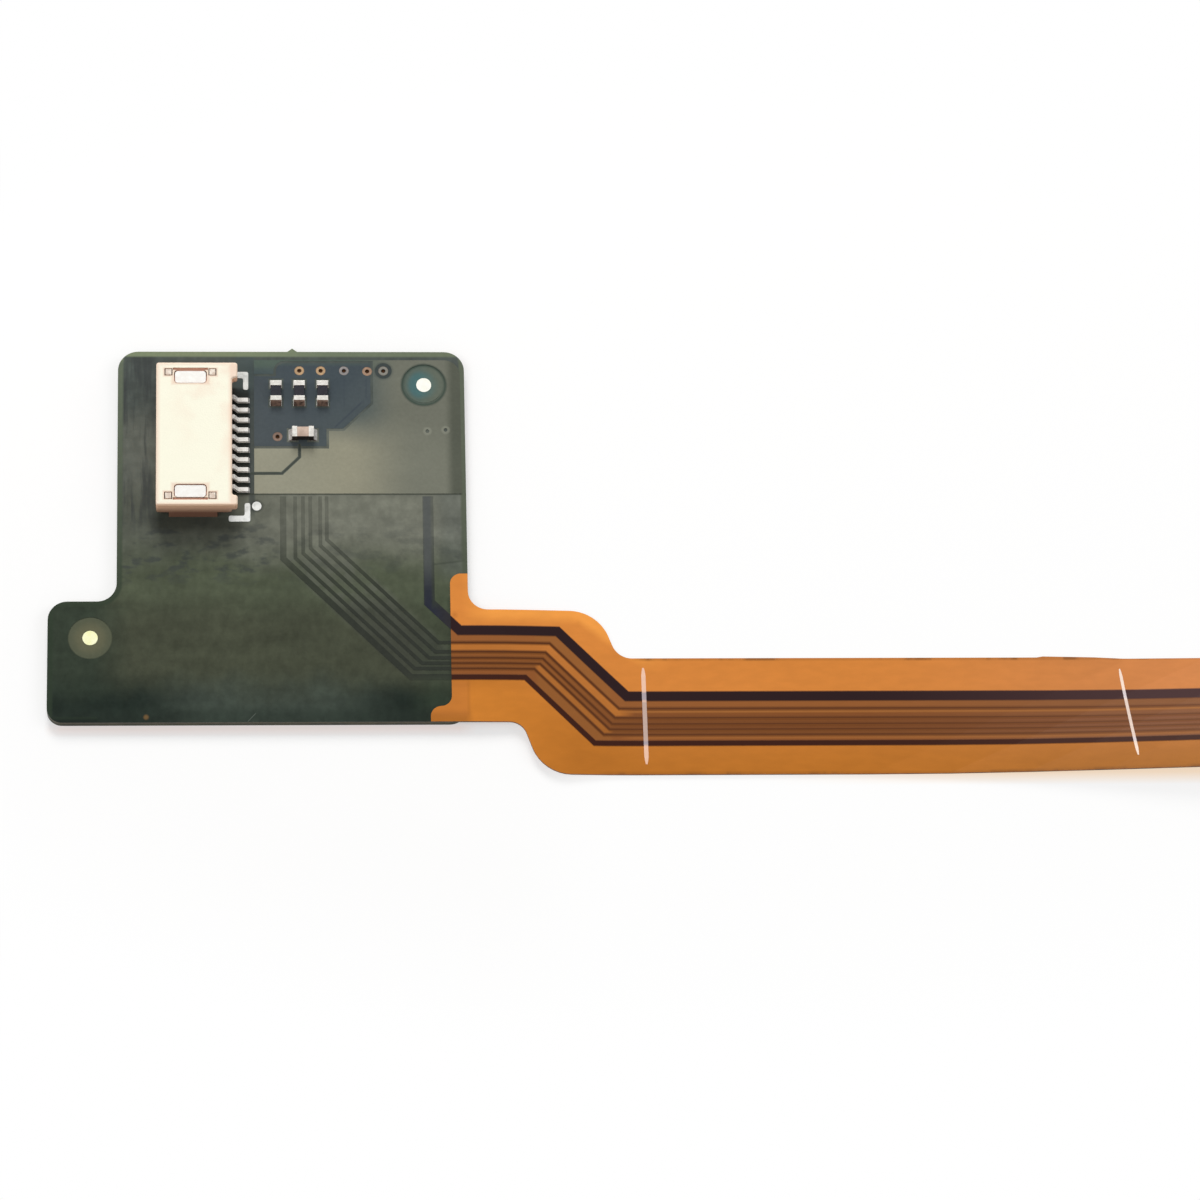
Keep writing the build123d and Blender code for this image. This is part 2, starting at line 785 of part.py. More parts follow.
# Contacts: a forked blade in its channel with a lead folded down to the board
contact_low = channel_floor + channel_clearance
contact_high = channel_roof - channel_clearance
lead_back = lead_reach - lead_foot - strip_thickness / 2
with BuildPart() as contact:
    with BuildSketch(Plane.XZ):
        with BuildLine():
            FilletPolyline(
                (lead_reach, 0), (lead_reach, strip_thickness),
                (lead_reach - lead_foot, strip_thickness),
                (lead_reach - lead_foot - lead_slope, lead_shoulder),
                (-contact_set_back, lead_shoulder), (-contact_set_back, contact_high),
                (-contact_arm, contact_high), (-contact_arm, contact_high - strip_thickness - contact_bump),
                (-contact_arm + 2 * contact_bump, contact_high - strip_thickness),
                (-contact_root, contact_high - strip_thickness),
                (-contact_root, contact_low + strip_thickness),
                (-contact_arm + 2 * contact_bump, contact_low + strip_thickness),
                (-contact_arm, contact_low + strip_thickness + contact_bump),
                (-contact_arm, contact_low), (-contact_set_back, contact_low),
                (-contact_set_back, lead_shoulder - strip_thickness),
                (lead_back - lead_slope, lead_shoulder - strip_thickness), (lead_back, 0),
                radius=[
                    0, 0, lead_bend, lead_bend, 0, 0, 0, 0, 0,
                    0, 0, 0, 0, 0, 0, 0, lead_bend, 0,
                ],
                close=True,
            )
        make_face()
    extrude(amount=contact_thickness / 2, both=True)
for i, row in enumerate(contact_rows):
    with BuildPart() as placed_contact:
        with Locations((housing_east, row, board_face)):
            add(contact.part)
    finish(placed_contact.part, f"contact_{i + 1:02d}")

# Solder in front of each lead
with BuildPart() as toe:
    with BuildSketch(Plane.XZ):
        Polygon((0, 0), (toe_reach, 0), (0, strip_thickness), align=None)
    extrude(amount=contact_thickness / 2, both=True)
with BuildPart() as contact_solder:
    with Locations((contact_tip, connector_y, board_face)):
        with GridLocations(1, contact_pitch, 1, contact_count):
            add(toe.part)
finish(contact_solder.part, "contact_solder")


def chip_pieces(length, width, height):
    """The core, end terminals and solder of a chip that lies along X on its lands."""
    with BuildPart() as core:
        with Locations((0, 0, solder_film + terminal_wall)):
            Box(
                length - 2 * terminal_wall, width - 2 * terminal_wall, height - 2 * terminal_wall,
                align=(Align.CENTER, Align.CENTER, Align.MIN),
            )
    with BuildPart() as terminals:
        with Locations((0, 0, solder_film)):
            with GridLocations(length - chip_terminal, 1, 2, 1):
                Box(chip_terminal, width, height, align=(Align.CENTER, Align.CENTER, Align.MIN))
        rims = terminals.edges().filter_by(Axis.Y).group_by(Axis.Z)[-1].sort_by(Axis.X)
        sides = terminals.edges().filter_by(Axis.X).group_by(Axis.Z)[-1]
        fillet([rims[0], rims[-1]] + sides, radius=terminal_edge)
        add(core.part, mode=Mode.SUBTRACT)
    with BuildPart() as solder:
        with BuildSketch(Plane.XZ):
            for side in (1, -1):
                end = side * length / 2
                inner = end - side * chip_terminal
                Polygon(
                    (inner, 0), (inner, solder_film), (end, solder_film),
                    (end, solder_film + toe_height), (end + side * land_reach, 0),
                    align=None,
                )
        extrude(amount=width / 2, both=True)
    return core.part, terminals.part, solder.part


# Chips: three resistors in a row and one capacitor
resistor_core, resistor_terminals, resistor_solder = chip_pieces(*resistor_size)
capacitor_core, capacitor_terminals, capacitor_solder = chip_pieces(*capacitor_size)
for i, x in enumerate(resistor_places):
    for piece, name in ((resistor_core, "resistor_body"), (resistor_terminals, "resistor_terminals")):
        with BuildPart() as placed_piece:
            with Locations(Location((x, resistor_y, board_face), (0, 0, 90))):
                add(piece)
        finish(placed_piece.part, f"{name}_{i + 1}")
for piece, name in ((capacitor_core, "capacitor_body"), (capacitor_terminals, "capacitor_terminals")):
    with BuildPart() as placed_piece:
        with Locations((*capacitor_place, board_face)):
            add(piece)
    finish(placed_piece.part, name)
with BuildPart() as chip_solder:
    for x in resistor_places:
        with Locations(Location((x, resistor_y, board_face), (0, 0, 90))):
            add(resistor_solder)
    with Locations((*capacitor_place, board_face)):
        add(capacitor_solder)
finish(chip_solder.part, "chip_solder")
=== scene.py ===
# A flexible display cable, dressed and lit as in its photo.
# The looks are painted in millimetres of the row frame; the scene itself is in metres.
import math

import bmesh
import bpy
from mathutils import Matrix, Vector


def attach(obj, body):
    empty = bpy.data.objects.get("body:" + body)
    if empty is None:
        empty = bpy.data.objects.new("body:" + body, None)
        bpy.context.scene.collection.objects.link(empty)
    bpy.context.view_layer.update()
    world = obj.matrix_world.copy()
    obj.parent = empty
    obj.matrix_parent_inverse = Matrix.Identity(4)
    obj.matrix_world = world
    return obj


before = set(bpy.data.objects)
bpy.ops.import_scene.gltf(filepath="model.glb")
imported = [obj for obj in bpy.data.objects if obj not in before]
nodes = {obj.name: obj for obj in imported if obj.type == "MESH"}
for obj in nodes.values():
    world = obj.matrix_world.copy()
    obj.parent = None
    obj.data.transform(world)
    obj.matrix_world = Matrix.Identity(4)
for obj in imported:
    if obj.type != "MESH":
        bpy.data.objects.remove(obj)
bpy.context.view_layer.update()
MM = 0.001
WHITE = (1.0, 1.0, 1.0, 1.0)


def tone(red, green, blue):
    """A display colour from 0 to 255 as linear values."""
    parts = []
    for part in (red, green, blue):
        part /= 255
        parts.append(part / 12.92 if part <= 0.04045 else ((part + 0.055) / 1.055) ** 2.4)
    return (*parts, 1.0)


class Field:
    """A number that varies over a surface."""

    def __init__(self, look, socket):
        self.look = look
        self.socket = socket

    def __add__(self, other):
        return self.look.math("ADD", self, other)

    __radd__ = __add__

    def __sub__(self, other):
        return self.look.math("SUBTRACT", self, other)

    def __rsub__(self, other):
        return self.look.math("SUBTRACT", other, self)

    def __mul__(self, other):
        return self.look.math("MULTIPLY", self, other)

    __rmul__ = __mul__


class Look:
    """A procedural material painted in millimetres of the row frame."""

    def __init__(self, name, roughness=0.5, metallic=0.0, specular=0.5):
        self.material = bpy.data.materials.new(name)
        self.material.use_nodes = True
        self.nodes = self.material.node_tree.nodes
        self.links = self.material.node_tree.links
        self.shader = self.nodes["Principled BSDF"]
        self.shader.inputs["Roughness"].default_value = roughness
        self.shader.inputs["Metallic"].default_value = metallic
        self.shader.inputs["Specular IOR Level"].default_value = specular
        coords = self.nodes.new("ShaderNodeTexCoord")
        scale = self.nodes.new("ShaderNodeVectorMath")
        scale.operation = "SCALE"
        scale.inputs["Scale"].default_value = 1000
        self.links.new(coords.outputs["Object"], scale.inputs[0])
        self.place = scale.outputs[0]
        split = self.nodes.new("ShaderNodeSeparateXYZ")
        self.links.new(self.place, split.inputs[0])
        self.x, self.y, self.z = (Field(self, socket) for socket in split.outputs)

    def feed(self, socket, value):
        if isinstance(value, Field):
            self.links.new(value.socket, socket)
        else:
            socket.default_value = value

    def math(self, kind, *values):
        node = self.nodes.new("ShaderNodeMath")
        node.operation = kind
        for socket, value in zip(node.inputs, values):
            self.feed(socket, value)
        return Field(self, node.outputs[0])

    def ramp(self, value, low, high, start=0.0, end=1.0, smooth=False):
        """start below low, end above high, and a ramp between."""
        node = self.nodes.new("ShaderNodeMapRange")
        node.interpolation_type = "SMOOTHSTEP" if smooth else "LINEAR"
        keys = ("Value", "From Min", "From Max", "To Min", "To Max")
        for key, number in zip(keys, (value, low, high, start, end)):
            self.feed(node.inputs[key], number)
        return Field(self, node.outputs["Result"])

    def soft(self, value, low, high):
        """0 below low, 1 above high, and a smooth step between."""
        return self.ramp(value, low, high, smooth=True)

    def gate(self, value, low, high, edge=0.03):
        """1 between low and high, with soft edges."""
        rise = self.ramp(value, low - edge, low + edge)
        return rise * self.ramp(value, high - edge, high + edge, 1.0, 0.0)

    def line(self, value, centre, half_width, edge=0.03):
        """1 where value is within half_width of centre."""
        away = self.math("ABSOLUTE", value - centre)
        return self.ramp(away - half_width, -edge, edge, 1.0, 0.0)

    def noise(self, scale, stretch=(1, 1, 1), detail=3.0, seed=0.0):
        """Cloudy noise from 0 to 1, with scale features in a millimetre."""
        move = self.nodes.new("ShaderNodeVectorMath")
        move.operation = "MULTIPLY_ADD"
        self.links.new(self.place, move.inputs[0])
        move.inputs[1].default_value = stretch
        move.inputs[2].default_value = (seed, seed * 1.7, seed * 0.6)
        node = self.nodes.new("ShaderNodeTexNoise")
        node.inputs["Scale"].default_value = scale
        node.inputs["Detail"].default_value = detail
        self.links.new(move.outputs[0], node.inputs["Vector"])
        return Field(self, node.outputs[0])

    def mix(self, factor, first, second):
        """The first colour where factor is 0, the second where it is 1."""
        node = self.nodes.new("ShaderNodeMix")
        node.data_type = "RGBA"
        self.feed(node.inputs["Factor"], factor)
        self.feed(node.inputs[6], first)
        self.feed(node.inputs[7], second)
        return Field(self, node.outputs[2])

    def shade(self, color, amount):
        """A colour made lighter or darker: amount is a field around 1."""
        node = self.nodes.new("ShaderNodeHueSaturation")
        self.feed(node.inputs["Color"], color)
        self.feed(node.inputs["Value"], amount)
        return Field(self, node.outputs[0])

    def paint(self, color):
        self.feed(self.shader.inputs["Base Color"], color)

    def gloss(self, value):
        self.feed(self.shader.inputs["Roughness"], value)

    def bump(self, height, depth):
        """Raises the surface by height, where depth is the size of 1 in millimetres."""
        node = self.nodes.new("ShaderNodeBump")
        node.inputs["Distance"].default_value = depth * MM
        self.feed(node.inputs["Height"], height)
        self.links.new(node.outputs[0], self.shader.inputs["Normal"])


# Camera: the photo's own lens and place, fitted to the part's edges
FOCAL_PIXELS, PICTURE_PIXELS, SENSOR_WIDTH = 5362.09, 1200, 36
tilt, turn, roll = -0.3578, 0.0687, 0.0016
aim = Matrix.Rotation(roll, 3, "Z") @ Matrix.Rotation(turn, 3, "Y") @ Matrix.Rotation(tilt, 3, "X")
shift = Vector((-14.2986, 2.8759, -249.08)) * MM
camera_data = bpy.data.cameras.new("camera")
camera_data.sensor_fit = "HORIZONTAL"
camera_data.sensor_width = SENSOR_WIDTH
camera_data.lens = SENSOR_WIDTH * FOCAL_PIXELS / PICTURE_PIXELS
camera_data.clip_start = 0.01
camera_data.clip_end = 20
camera = bpy.data.objects.new("camera", camera_data)
bpy.context.scene.collection.objects.link(camera)
camera.matrix_world = Matrix.Translation(-(aim.transposed() @ shift)) @ aim.transposed().to_4x4()
bpy.context.scene.camera = camera

# Edges and places that the looks follow, in millimetres
BOARD_EAST, BOARD_NORTH = 8.1, 9.2
EAR_WEST, EAR_NORTH = -11.25, -3.3
FILLET_PLACE, FILLET_RADIUS = (-9.0, -2.4), 0.9
TAIL_NORTH, TAIL_SOUTH = -6.10, -11.69
PAD_EAST = (6.20, 7.52)
PAD_WEST = (-9.30, -5.09)
OPEN_VIAS = [(0.37, 8.24), (1.37, 8.24), (2.46, 8.24), (3.55, 8.21), (-0.66, 4.90), (4.31, 8.23)]
COVERED_VIAS = [(6.34, 5.18), (7.19, 5.24)]
LONE_VIA = OPEN_VIAS[5]
FITTING_X, FITTING_Y = -4.705, 4.455

# Conductors of the tail, from north to south: their heights before the jog, what each slant
# is set back by, and their widths. The power conductor reaches its height at POWER_ARRIVES.
RUNS = [-4.75, -5.35, -5.80, -6.10, -6.36, -6.62, -7.04]
JOG_STEPS = [0.0, 0.69, 0.46, 0.31, 0.27, 0.38, 0.60]
WIDTHS = [0.44, 0.11, 0.11, 0.11, 0.11, 0.11, 0.23]
POWER_ARRIVES = 7.68
JOG_START = 12.22
DROP = 3.14
FAN_START, FAN_END = 44.8, 46.4
FINGER_PITCH = 0.62
FINGERS = [(TAIL_NORTH + TAIL_SOUTH) / 2 + FINGER_PITCH * (3 - i) for i in range(7)]


def distance(look, place):
    """How far a spot of the surface lies from a place on the board, in millimetres."""
    across = look.x - place[0]
    up = look.y - place[1]
    return look.math("SQRT", across * across + up * up)


def inside_box(look, west, south, east, north):
    """How far a spot lies within the edges of a box, negative outside it."""
    along = look.math("MINIMUM", look.x - west, east - look.x)
    across = look.math("MINIMUM", look.y - south, north - look.y)
    return look.math("MINIMUM", along, across)


def conductor_edges(look):
    """The upper and lower edge of each conductor along the tail, as heights across it."""
    edges = []
    # x + y is the same all along a conductor's slant in the jog
    jog_sum = JOG_START + RUNS[0]
    for run, step, finger, width in zip(RUNS, JOG_STEPS, FINGERS, WIDTHS):
        jog_sum -= step * math.sqrt(2)
        fan = look.ramp(look.x, FAN_START, FAN_END, 0.0, finger - run + DROP)
        pair = []
        for half in (width / 2, -width / 2):
            slant = (jog_sum + half * math.sqrt(2)) - look.x
            level = look.math("MINIMUM", slant, run + half)
            level = look.math("MAXIMUM", level, run - DROP + half)
            if run == RUNS[0]:
                rise = (run + POWER_ARRIVES + half * math.sqrt(2)) - look.x
                level = look.math("MAXIMUM", level, rise)
            pair.append(level + fan)
        edges.append(pair)
    return edges


def between(look, upper, lower, soft):
    """1 between two heights across the tail."""
    return look.ramp(upper - look.y, -soft, soft) * look.ramp(look.y - lower, -soft, soft)


def film_ground(look, along, fine):
    """The bare amber film: a painted highlight makes it lighter at the neck, it is browner where
    the board's end lies behind it, and a painted shadow darkens that field's lower corner.
    """
    x, y = look.x, look.y
    cloud = look.noise(0.35, (0.5, 1, 1), 4, 3)
    across = look.soft(y + look.ramp(x, 9, 16, -1.2, 2.4), -9.6, -4.6)
    north = look.mix(along, tone(216, 134, 59), tone(209, 133, 76))
    south = look.mix(along, tone(186, 113, 38), tone(168, 105, 41))
    film = look.mix(across, south, north)
    low = look.ramp(x, 8.5, 13.0, 1.0, 0.0) * look.ramp(y, -7.2, -7.8)
    film = look.mix(low * 0.6, film, tone(218, 135, 50))
    # painted highlight: lighter film near the north edge of the neck
    neck = look.soft(y + look.ramp(x, 13.2, 16.2, 0.0, 2.3), -4.5, -3.9)
    neck = neck * look.ramp(x, 14.5, 17.5, 1.0, 0.0)
    film = look.mix(neck * look.ramp(x, 7.8, 9.2, 0.0, 0.85), film, tone(244, 160, 72))
    film = look.shade(film, look.ramp(cloud, 0.3, 0.7, 0.955, 1.04))
    film = look.shade(film, look.ramp(fine, 0.35, 0.65, 0.985, 1.015))
    # the end of the board's stiffener shows through as a browner field
    level = look.soft(y, -7.0, -7.4) * look.soft(y, -9.12, -8.8)
    film = look.mix(look.ramp(x, 7.9, 8.2, 0.26, 0.0) * level, film, tone(172, 102, 58))
    film = look.mix(look.line(x, 8.05, 0.02, 0.10) * level * 0.28, film, tone(120, 68, 26))
    # painted shadow: the lower corner of that field made darker brown
    corner = look.ramp(x, 7.9, 8.3, 1.0, 0.0) * look.soft(y, -8.5, -9.1)
    film = look.mix(corner * 0.5, film, tone(140, 84, 34))
    stain = look.ramp(distance(look, (7.46, -4.0)), 0.02, 0.22, 1.0, 0.0)
    return look.mix(stain * 0.3, film, tone(130, 70, 26))


def film_bands(look, film, edges, along):
    """The film with the brown bands of the return plane between the conductors."""
    x = look.x
    tail = look.ramp(x, 7.18, 7.24) * look.ramp(x, 45.55, 45.65, 1.0, 0.0)
    joined = look.ramp(x, 15.0, 15.7)
    jog = look.gate(x, 11.2, 14.6, 0.1)
    colors = [
        look.mix(along, tone(144, 88, 45), tone(134, 88, 56)),
        look.mix(along, tone(126, 74, 37), tone(134, 87, 57)),
        look.mix(along, tone(118, 69, 34), tone(130, 83, 57)),
        look.mix(along, tone(116, 67, 33), tone(130, 83, 57)),
        look.mix(along, tone(120, 71, 35), tone(132, 85, 58)),
        look.mix(along, tone(138, 82, 41), tone(138, 89, 56)),
    ]
    start = look.ramp(x, 12.0, 16.5, 1.0, 0.0)
    for i in (0, 5):
        colors[i] = look.mix(jog * 0.4, colors[i], tone(148, 96, 46))
    for i in (2, 3, 4):
        colors[i] = look.mix(start * 0.9, colors[i], tone(138, 83, 39))
    color = film
    for i, band in enumerate(colors):
        part = between(look, edges[i][1], edges[i + 1][0], 0.03) * tail
        if i == 1:
            part = part * (joined * 0.62 + 0.38)
        if i == 4:
            part = part * (1.0 - jog * 0.42)
        color = look.mix(part * 0.96, color, band)
    # a pale line in each wider band, where the plane stops short of the conductor
    for i, strength in ((1, 0.55), (5, 0.3)):
        pale = between(look, edges[i][1] - 0.05, edges[i][1] - 0.15, 0.04) * tail * joined
        color = look.mix(pale * strength, color, tone(182, 118, 58))
    return color


def film_look(name, ink_strength):
    """Amber film with what shows through it: dark conductors and the brown return plane."""
    look = Look(name, roughness=0.42, specular=0.1)
    x, y = look.x, look.y
    fine = look.noise(3.0, (0.4, 1, 1), 5, 11)
    along = look.soft(x, 24, 42)
    edges = conductor_edges(look)
    color = film_bands(look, film_ground(look, along, fine), edges, along)
    color = look.shade(color, look.ramp(fine, 0.35, 0.65, 0.985, 1.015))
    dark = look.mix(along, tone(42, 25, 27), tone(74, 51, 51))
    red = look.mix(along, tone(60, 28, 18), tone(68, 40, 32))
    near = look.ramp(x, 12.5, 16.0, 1.0, 0.0)
    thin = look.mix(along, look.mix(near, tone(97, 55, 28), tone(88, 48, 22)), tone(112, 70, 44))
    stop = look.ramp(x, 49.87, 49.93, 1.0, 0.0)
    relief = None
    for i, (upper, lower) in enumerate(edges):
        mark = between(look, upper + 0.025, lower - 0.025, 0.035 if i in (0, 6) else 0.05) * stop
        ink = dark if i == 0 else red if i == 6 else thin
        color = look.mix(mark * ink_strength, color, ink)
        relief = mark if relief is None else look.math("MAXIMUM", relief, mark)
    # cut edges of the film, darker and nicked in places
    nick = look.soft(look.noise(1.1, (1, 0.2, 1), 2, 23), 0.50, 0.66)
    low_edge = look.ramp(y, -11.67, -11.52, 1.0, 0.0) * (nick * 0.35 + 0.30)
    high_edge = look.ramp(y, -6.19, -6.10) * look.ramp(x, 15.6, 16.0) * (nick * 0.45 + 0.25)
    cut = look.math("MAXIMUM", low_edge, high_edge) * look.ramp(x, 13.5, 14.5)
    color = look.mix(cut, color, tone(118, 74, 36))
    # the table's shade seen through the plated holes
    for place in OPEN_VIAS:
        hole = look.ramp(distance(look, place), 0.10, 0.13, 0.9, 0.0)
        color = look.mix(hole, color, tone(34, 28, 24))
    look.paint(color)
    look.bump(relief + fine * 0.12, 0.006)
    return look.material


# Solder mask
def board_green(look):
    """The green of the board end: dark in the lower left, grey in the upper right."""
    x, y = look.x, look.y
    cloud = look.noise(0.45, (1, 1, 1), 3, 9)
    wander = (cloud - 0.5) * 1.8
    level = y + wander
    middle = look.soft(x, -7.5, -3.5) * look.ramp(x, 1.5, 5.0, 1.0, 0.0)
    deep = look.mix(middle, tone(28, 38, 32), tone(60, 69, 61))
    color = look.mix(look.soft(level, -8.5, -6.4), deep, tone(67, 71, 56))
    color = look.mix(look.soft(level, -4.6, -2.6), color, tone(77, 84, 66))
    upper = look.mix(look.soft(x, -5.0, 1.5), tone(86, 90, 80), tone(114, 116, 104))
    color = look.mix(look.soft(level, -2.2, 0.2), color, upper)
    color = look.mix(look.soft(level, 1.6, 3.2), color, tone(96, 100, 92))
    color = look.mix(look.soft(level, 4.6, 6.8), color, tone(77, 84, 80))
    east = look.soft(x, 6.3, 7.3) * look.soft(y, -2.6, -1.6)
    color = look.mix(east * 0.45, color, tone(86, 92, 88))
    south_east = look.ramp(x, 5.2, 6.4) * look.ramp(y, -2.4, -3.2)
    color = look.mix(south_east * 0.35, color, tone(60, 72, 54))
    ear = look.ramp(x, -9.2, -7.4, 1.0, 0.0) * look.ramp(y, -3.2, -3.6)
    ear_tone = look.mix(look.soft(y, -7.2, -8.4), tone(42, 54, 44), tone(31, 42, 35))
    color = look.mix(ear * 0.75, color, ear_tone)
    return look.mix(look.soft(y, -8.3, -8.9) * 0.6, color, tone(38, 48, 41))


def mask_ground(look, gaps=1.0):
    """The board's green with its streaks, and with shade beside the parts."""
    x, y = look.x, look.y
    color = board_green(look)
    # streaks: level ones below the connector, and upright ones beside it that are painted shade
    streak = look.noise(0.9, (0.35, 1.3, 1), 4, 5)
    color = look.shade(color, look.ramp(streak, 0.3, 0.7, 0.86, 1.14))
    mottle = look.noise(2.2, (1, 0.7, 1), 3, 41)
    color = look.shade(color, look.ramp(mottle, 0.35, 0.65, 0.89, 1.11))
    blotch = look.noise(1.5, (0.8, 1.5, 1), 3, 31)
    below = look.gate(y, -2.2, 0.6, 0.6) * look.ramp(x, -1.4, -0.4, 1.0, 0.4)
    color = look.mix(look.soft(blotch, 0.48, 0.66) * below * 0.6, color, tone(56, 61, 62))
    # painted shade west of the connector, broken into upright streaks
    upright = look.noise(1.3, (1.6, 0.16, 1), 3, 37)
    beside = look.ramp(x, -6.2, -6.6) * look.soft(y, -0.5, 1.5)
    color = look.mix(look.soft(upright, 0.46, 0.60) * beside * 0.7, color, tone(58, 62, 62))
    # conductors at a slant: pale gaps between them, and darker ground in their lower part
    slant = look.gate(x + y, -1.85, 1.60, 0.2) * look.gate(y, -6.9, -0.9, 0.7)
    slant = slant * look.ramp(x, -0.7, -0.3)
    patchy = look.soft(look.noise(1.4, (1, 1, 1), 2, 43), 0.40, 0.62)
    slant = slant * look.ramp(y, -6.0, -3.0, 0.2, 1.0)
    color = look.mix(slant * (patchy * 0.3 + 0.15) * gaps, color, tone(100, 102, 94))
    bundle = look.gate(x + y, -1.85, 1.35, 0.15) * look.gate(y, -7.0, -3.4, 0.4)
    color = look.mix(bundle * 0.5, color, tone(55, 58, 52))
    # shade under the leads, beside and in front of the connector, and where the film leaves
    leads = look.gate(x, -2.85, -1.93, 0.04) * look.gate(y, 2.05, 7.35, 0.05)
    color = look.mix(leads * 0.85, color, tone(24, 26, 24))
    beyond = look.gate(x, -2.0, -1.72, 0.05) * look.gate(y, 1.0, 8.6, 0.3)
    color = look.mix(beyond * 0.6, color, tone(52, 60, 62))
    corner = look.gate(x, -2.6, -1.75, 0.1) * look.soft(y, 7.0, 7.6)
    color = look.mix(corner * 0.7, color, tone(72, 84, 84))
    halo = look.ramp(distance(look, (-1.64, 1.41)), 0.20, 0.38, 0.7, 0.0)
    color = look.mix(halo, color, tone(50, 52, 50))
    foot = look.gate(x, -6.6, -2.2, 0.25) * look.gate(y, 0.15, 1.0, 0.22)
    color = look.mix(foot * 0.55, color, tone(34, 36, 32))
    sill = look.ramp(x, 7.10, 7.35) * look.ramp(y, -3.0, -3.4)
    return look.mix(sill * 0.7, color, tone(38, 48, 36))


def mask_margin(look, color):
    """A band along the board end's outline: lighter on most of it, with painted shade along the
    south edge.
    """
    x, y = look.x, look.y
    main = inside_box(look, -BOARD_EAST, -BOARD_NORTH, BOARD_EAST, BOARD_NORTH)
    ear = inside_box(look, EAR_WEST, -BOARD_NORTH, BOARD_EAST, EAR_NORTH)
    # the fillet counts only in the corner between its centre and the two edges that it joins
    beyond = look.ramp(x, -9.0, -8.95, 50.0, 0.0) + look.ramp(y, -2.45, -2.4, 0.0, 50.0)
    fillet = distance(look, FILLET_PLACE) - FILLET_RADIUS - beyond
    inside = look.math("MAXIMUM", look.math("MAXIMUM", main, ear), fillet)
    band = look.ramp(inside, 0.20, 0.30, 1.0, 0.0)
    green = look.mix(look.soft(y, -5, 8), tone(46, 58, 44), tone(100, 110, 92))
    green = look.mix(look.soft(x, 3, 8) * 0.6, green, tone(90, 96, 80))
    top = look.soft(y, 8.6, 8.9) * look.ramp(x, -2, 2, 1.0, 0.4)
    green = look.mix(top, green, tone(128, 140, 110))
    # painted shade: the south edge of the band, turned away from the light, made dark
    south_edge = look.ramp(y, -8.9, -9.1)
    green = look.mix(south_edge, green, tone(26, 35, 30))
    return look.mix(band * look.ramp(y, -8.9, 8.6, 0.8, 0.9), color, green)


def mask_finish(look, color):
    """What all parts of the mask share: fine grain, gloss and soft waves."""
    grain = look.noise(7.0, (1, 1, 1), 3, 2)
    color = look.shade(color, look.ramp(grain, 0.3, 0.7, 0.965, 1.035))
    look.paint(color)
    wave = look.noise(0.9, (1, 1, 1), 2, 4)
    look.gloss(look.ramp(grain, 0.3, 0.7, 0.30, 0.38))
    look.bump(wave + grain * 0.15, 0.012)
    return look.material


def mask_look():
    """Mask over the bare board, with the fields of the pads and small marks."""
    look = Look("mask_base", specular=0.13)
    x, y = look.x, look.y
    color = mask_margin(look, mask_ground(look))
    shadow = look.gate(y, 1.97, 2.06, 0.02) * look.gate(x, -2.6, 7.9, 0.05)
    color = look.mix(shadow * 0.75, color, tone(58, 62, 54))
    # painted shade along a crease in the mask
    crease = look.line(y - (x - 6.5) * 0.13, -1.5, 0.03, 0.05) * look.gate(x, 6.4, 7.9, 0.15)
    color = look.mix(crease * 0.55, color, tone(48, 54, 46))
    # round fields of the alignment pads
    east = distance(look, PAD_EAST)
    disc = look.mix(look.soft(east, 0.46, 0.80), tone(74, 108, 108), tone(88, 100, 91))
    disc = look.mix(look.ramp(x - PAD_EAST[0], -0.2, 0.5, 0.0, 0.65), disc, tone(100, 106, 93))
    crescent = look.ramp(x - PAD_EAST[0], -0.45, 0.0, 1.0, 0.0) * look.line(east, 0.62, 0.12, 0.12)
    disc = look.mix(crescent * 0.6, disc, tone(70, 108, 112))
    disc = look.mix(look.line(east, 1.0, 0.05, 0.05) * 0.85, disc, tone(56, 70, 62))
    color = look.mix(look.ramp(east, 1.03, 1.09, 1.0, 0.0), color, disc)
    west = distance(look, PAD_WEST)
    disc = look.mix(look.soft(west, 0.45, 0.95), tone(98, 98, 76), tone(84, 88, 70))
    color = look.mix(look.ramp(west, 0.97, 1.04, 1.0, 0.0), color, disc)
    # dark ground round the lone via
    ground = look.ramp(distance(look, LONE_VIA), 0.36, 0.42, 0.85, 0.0)
    color = look.mix(ground, color, tone(58, 66, 66))
    # a brown speck and a scratch
    speck = look.ramp(distance(look, (-6.72, -8.95)), 0.06, 0.16, 0.8, 0.0)
    color = look.mix(speck, color, tone(120, 92, 56))
    scratch = look.line(y - (x + 1.9) * 1.1, -8.98, 0.012, 0.02) * look.gate(x, -2.08, -1.72, 0.03)
    color = look.mix(scratch * 0.7, color, tone(120, 128, 120))
    return mask_finish(look, color)


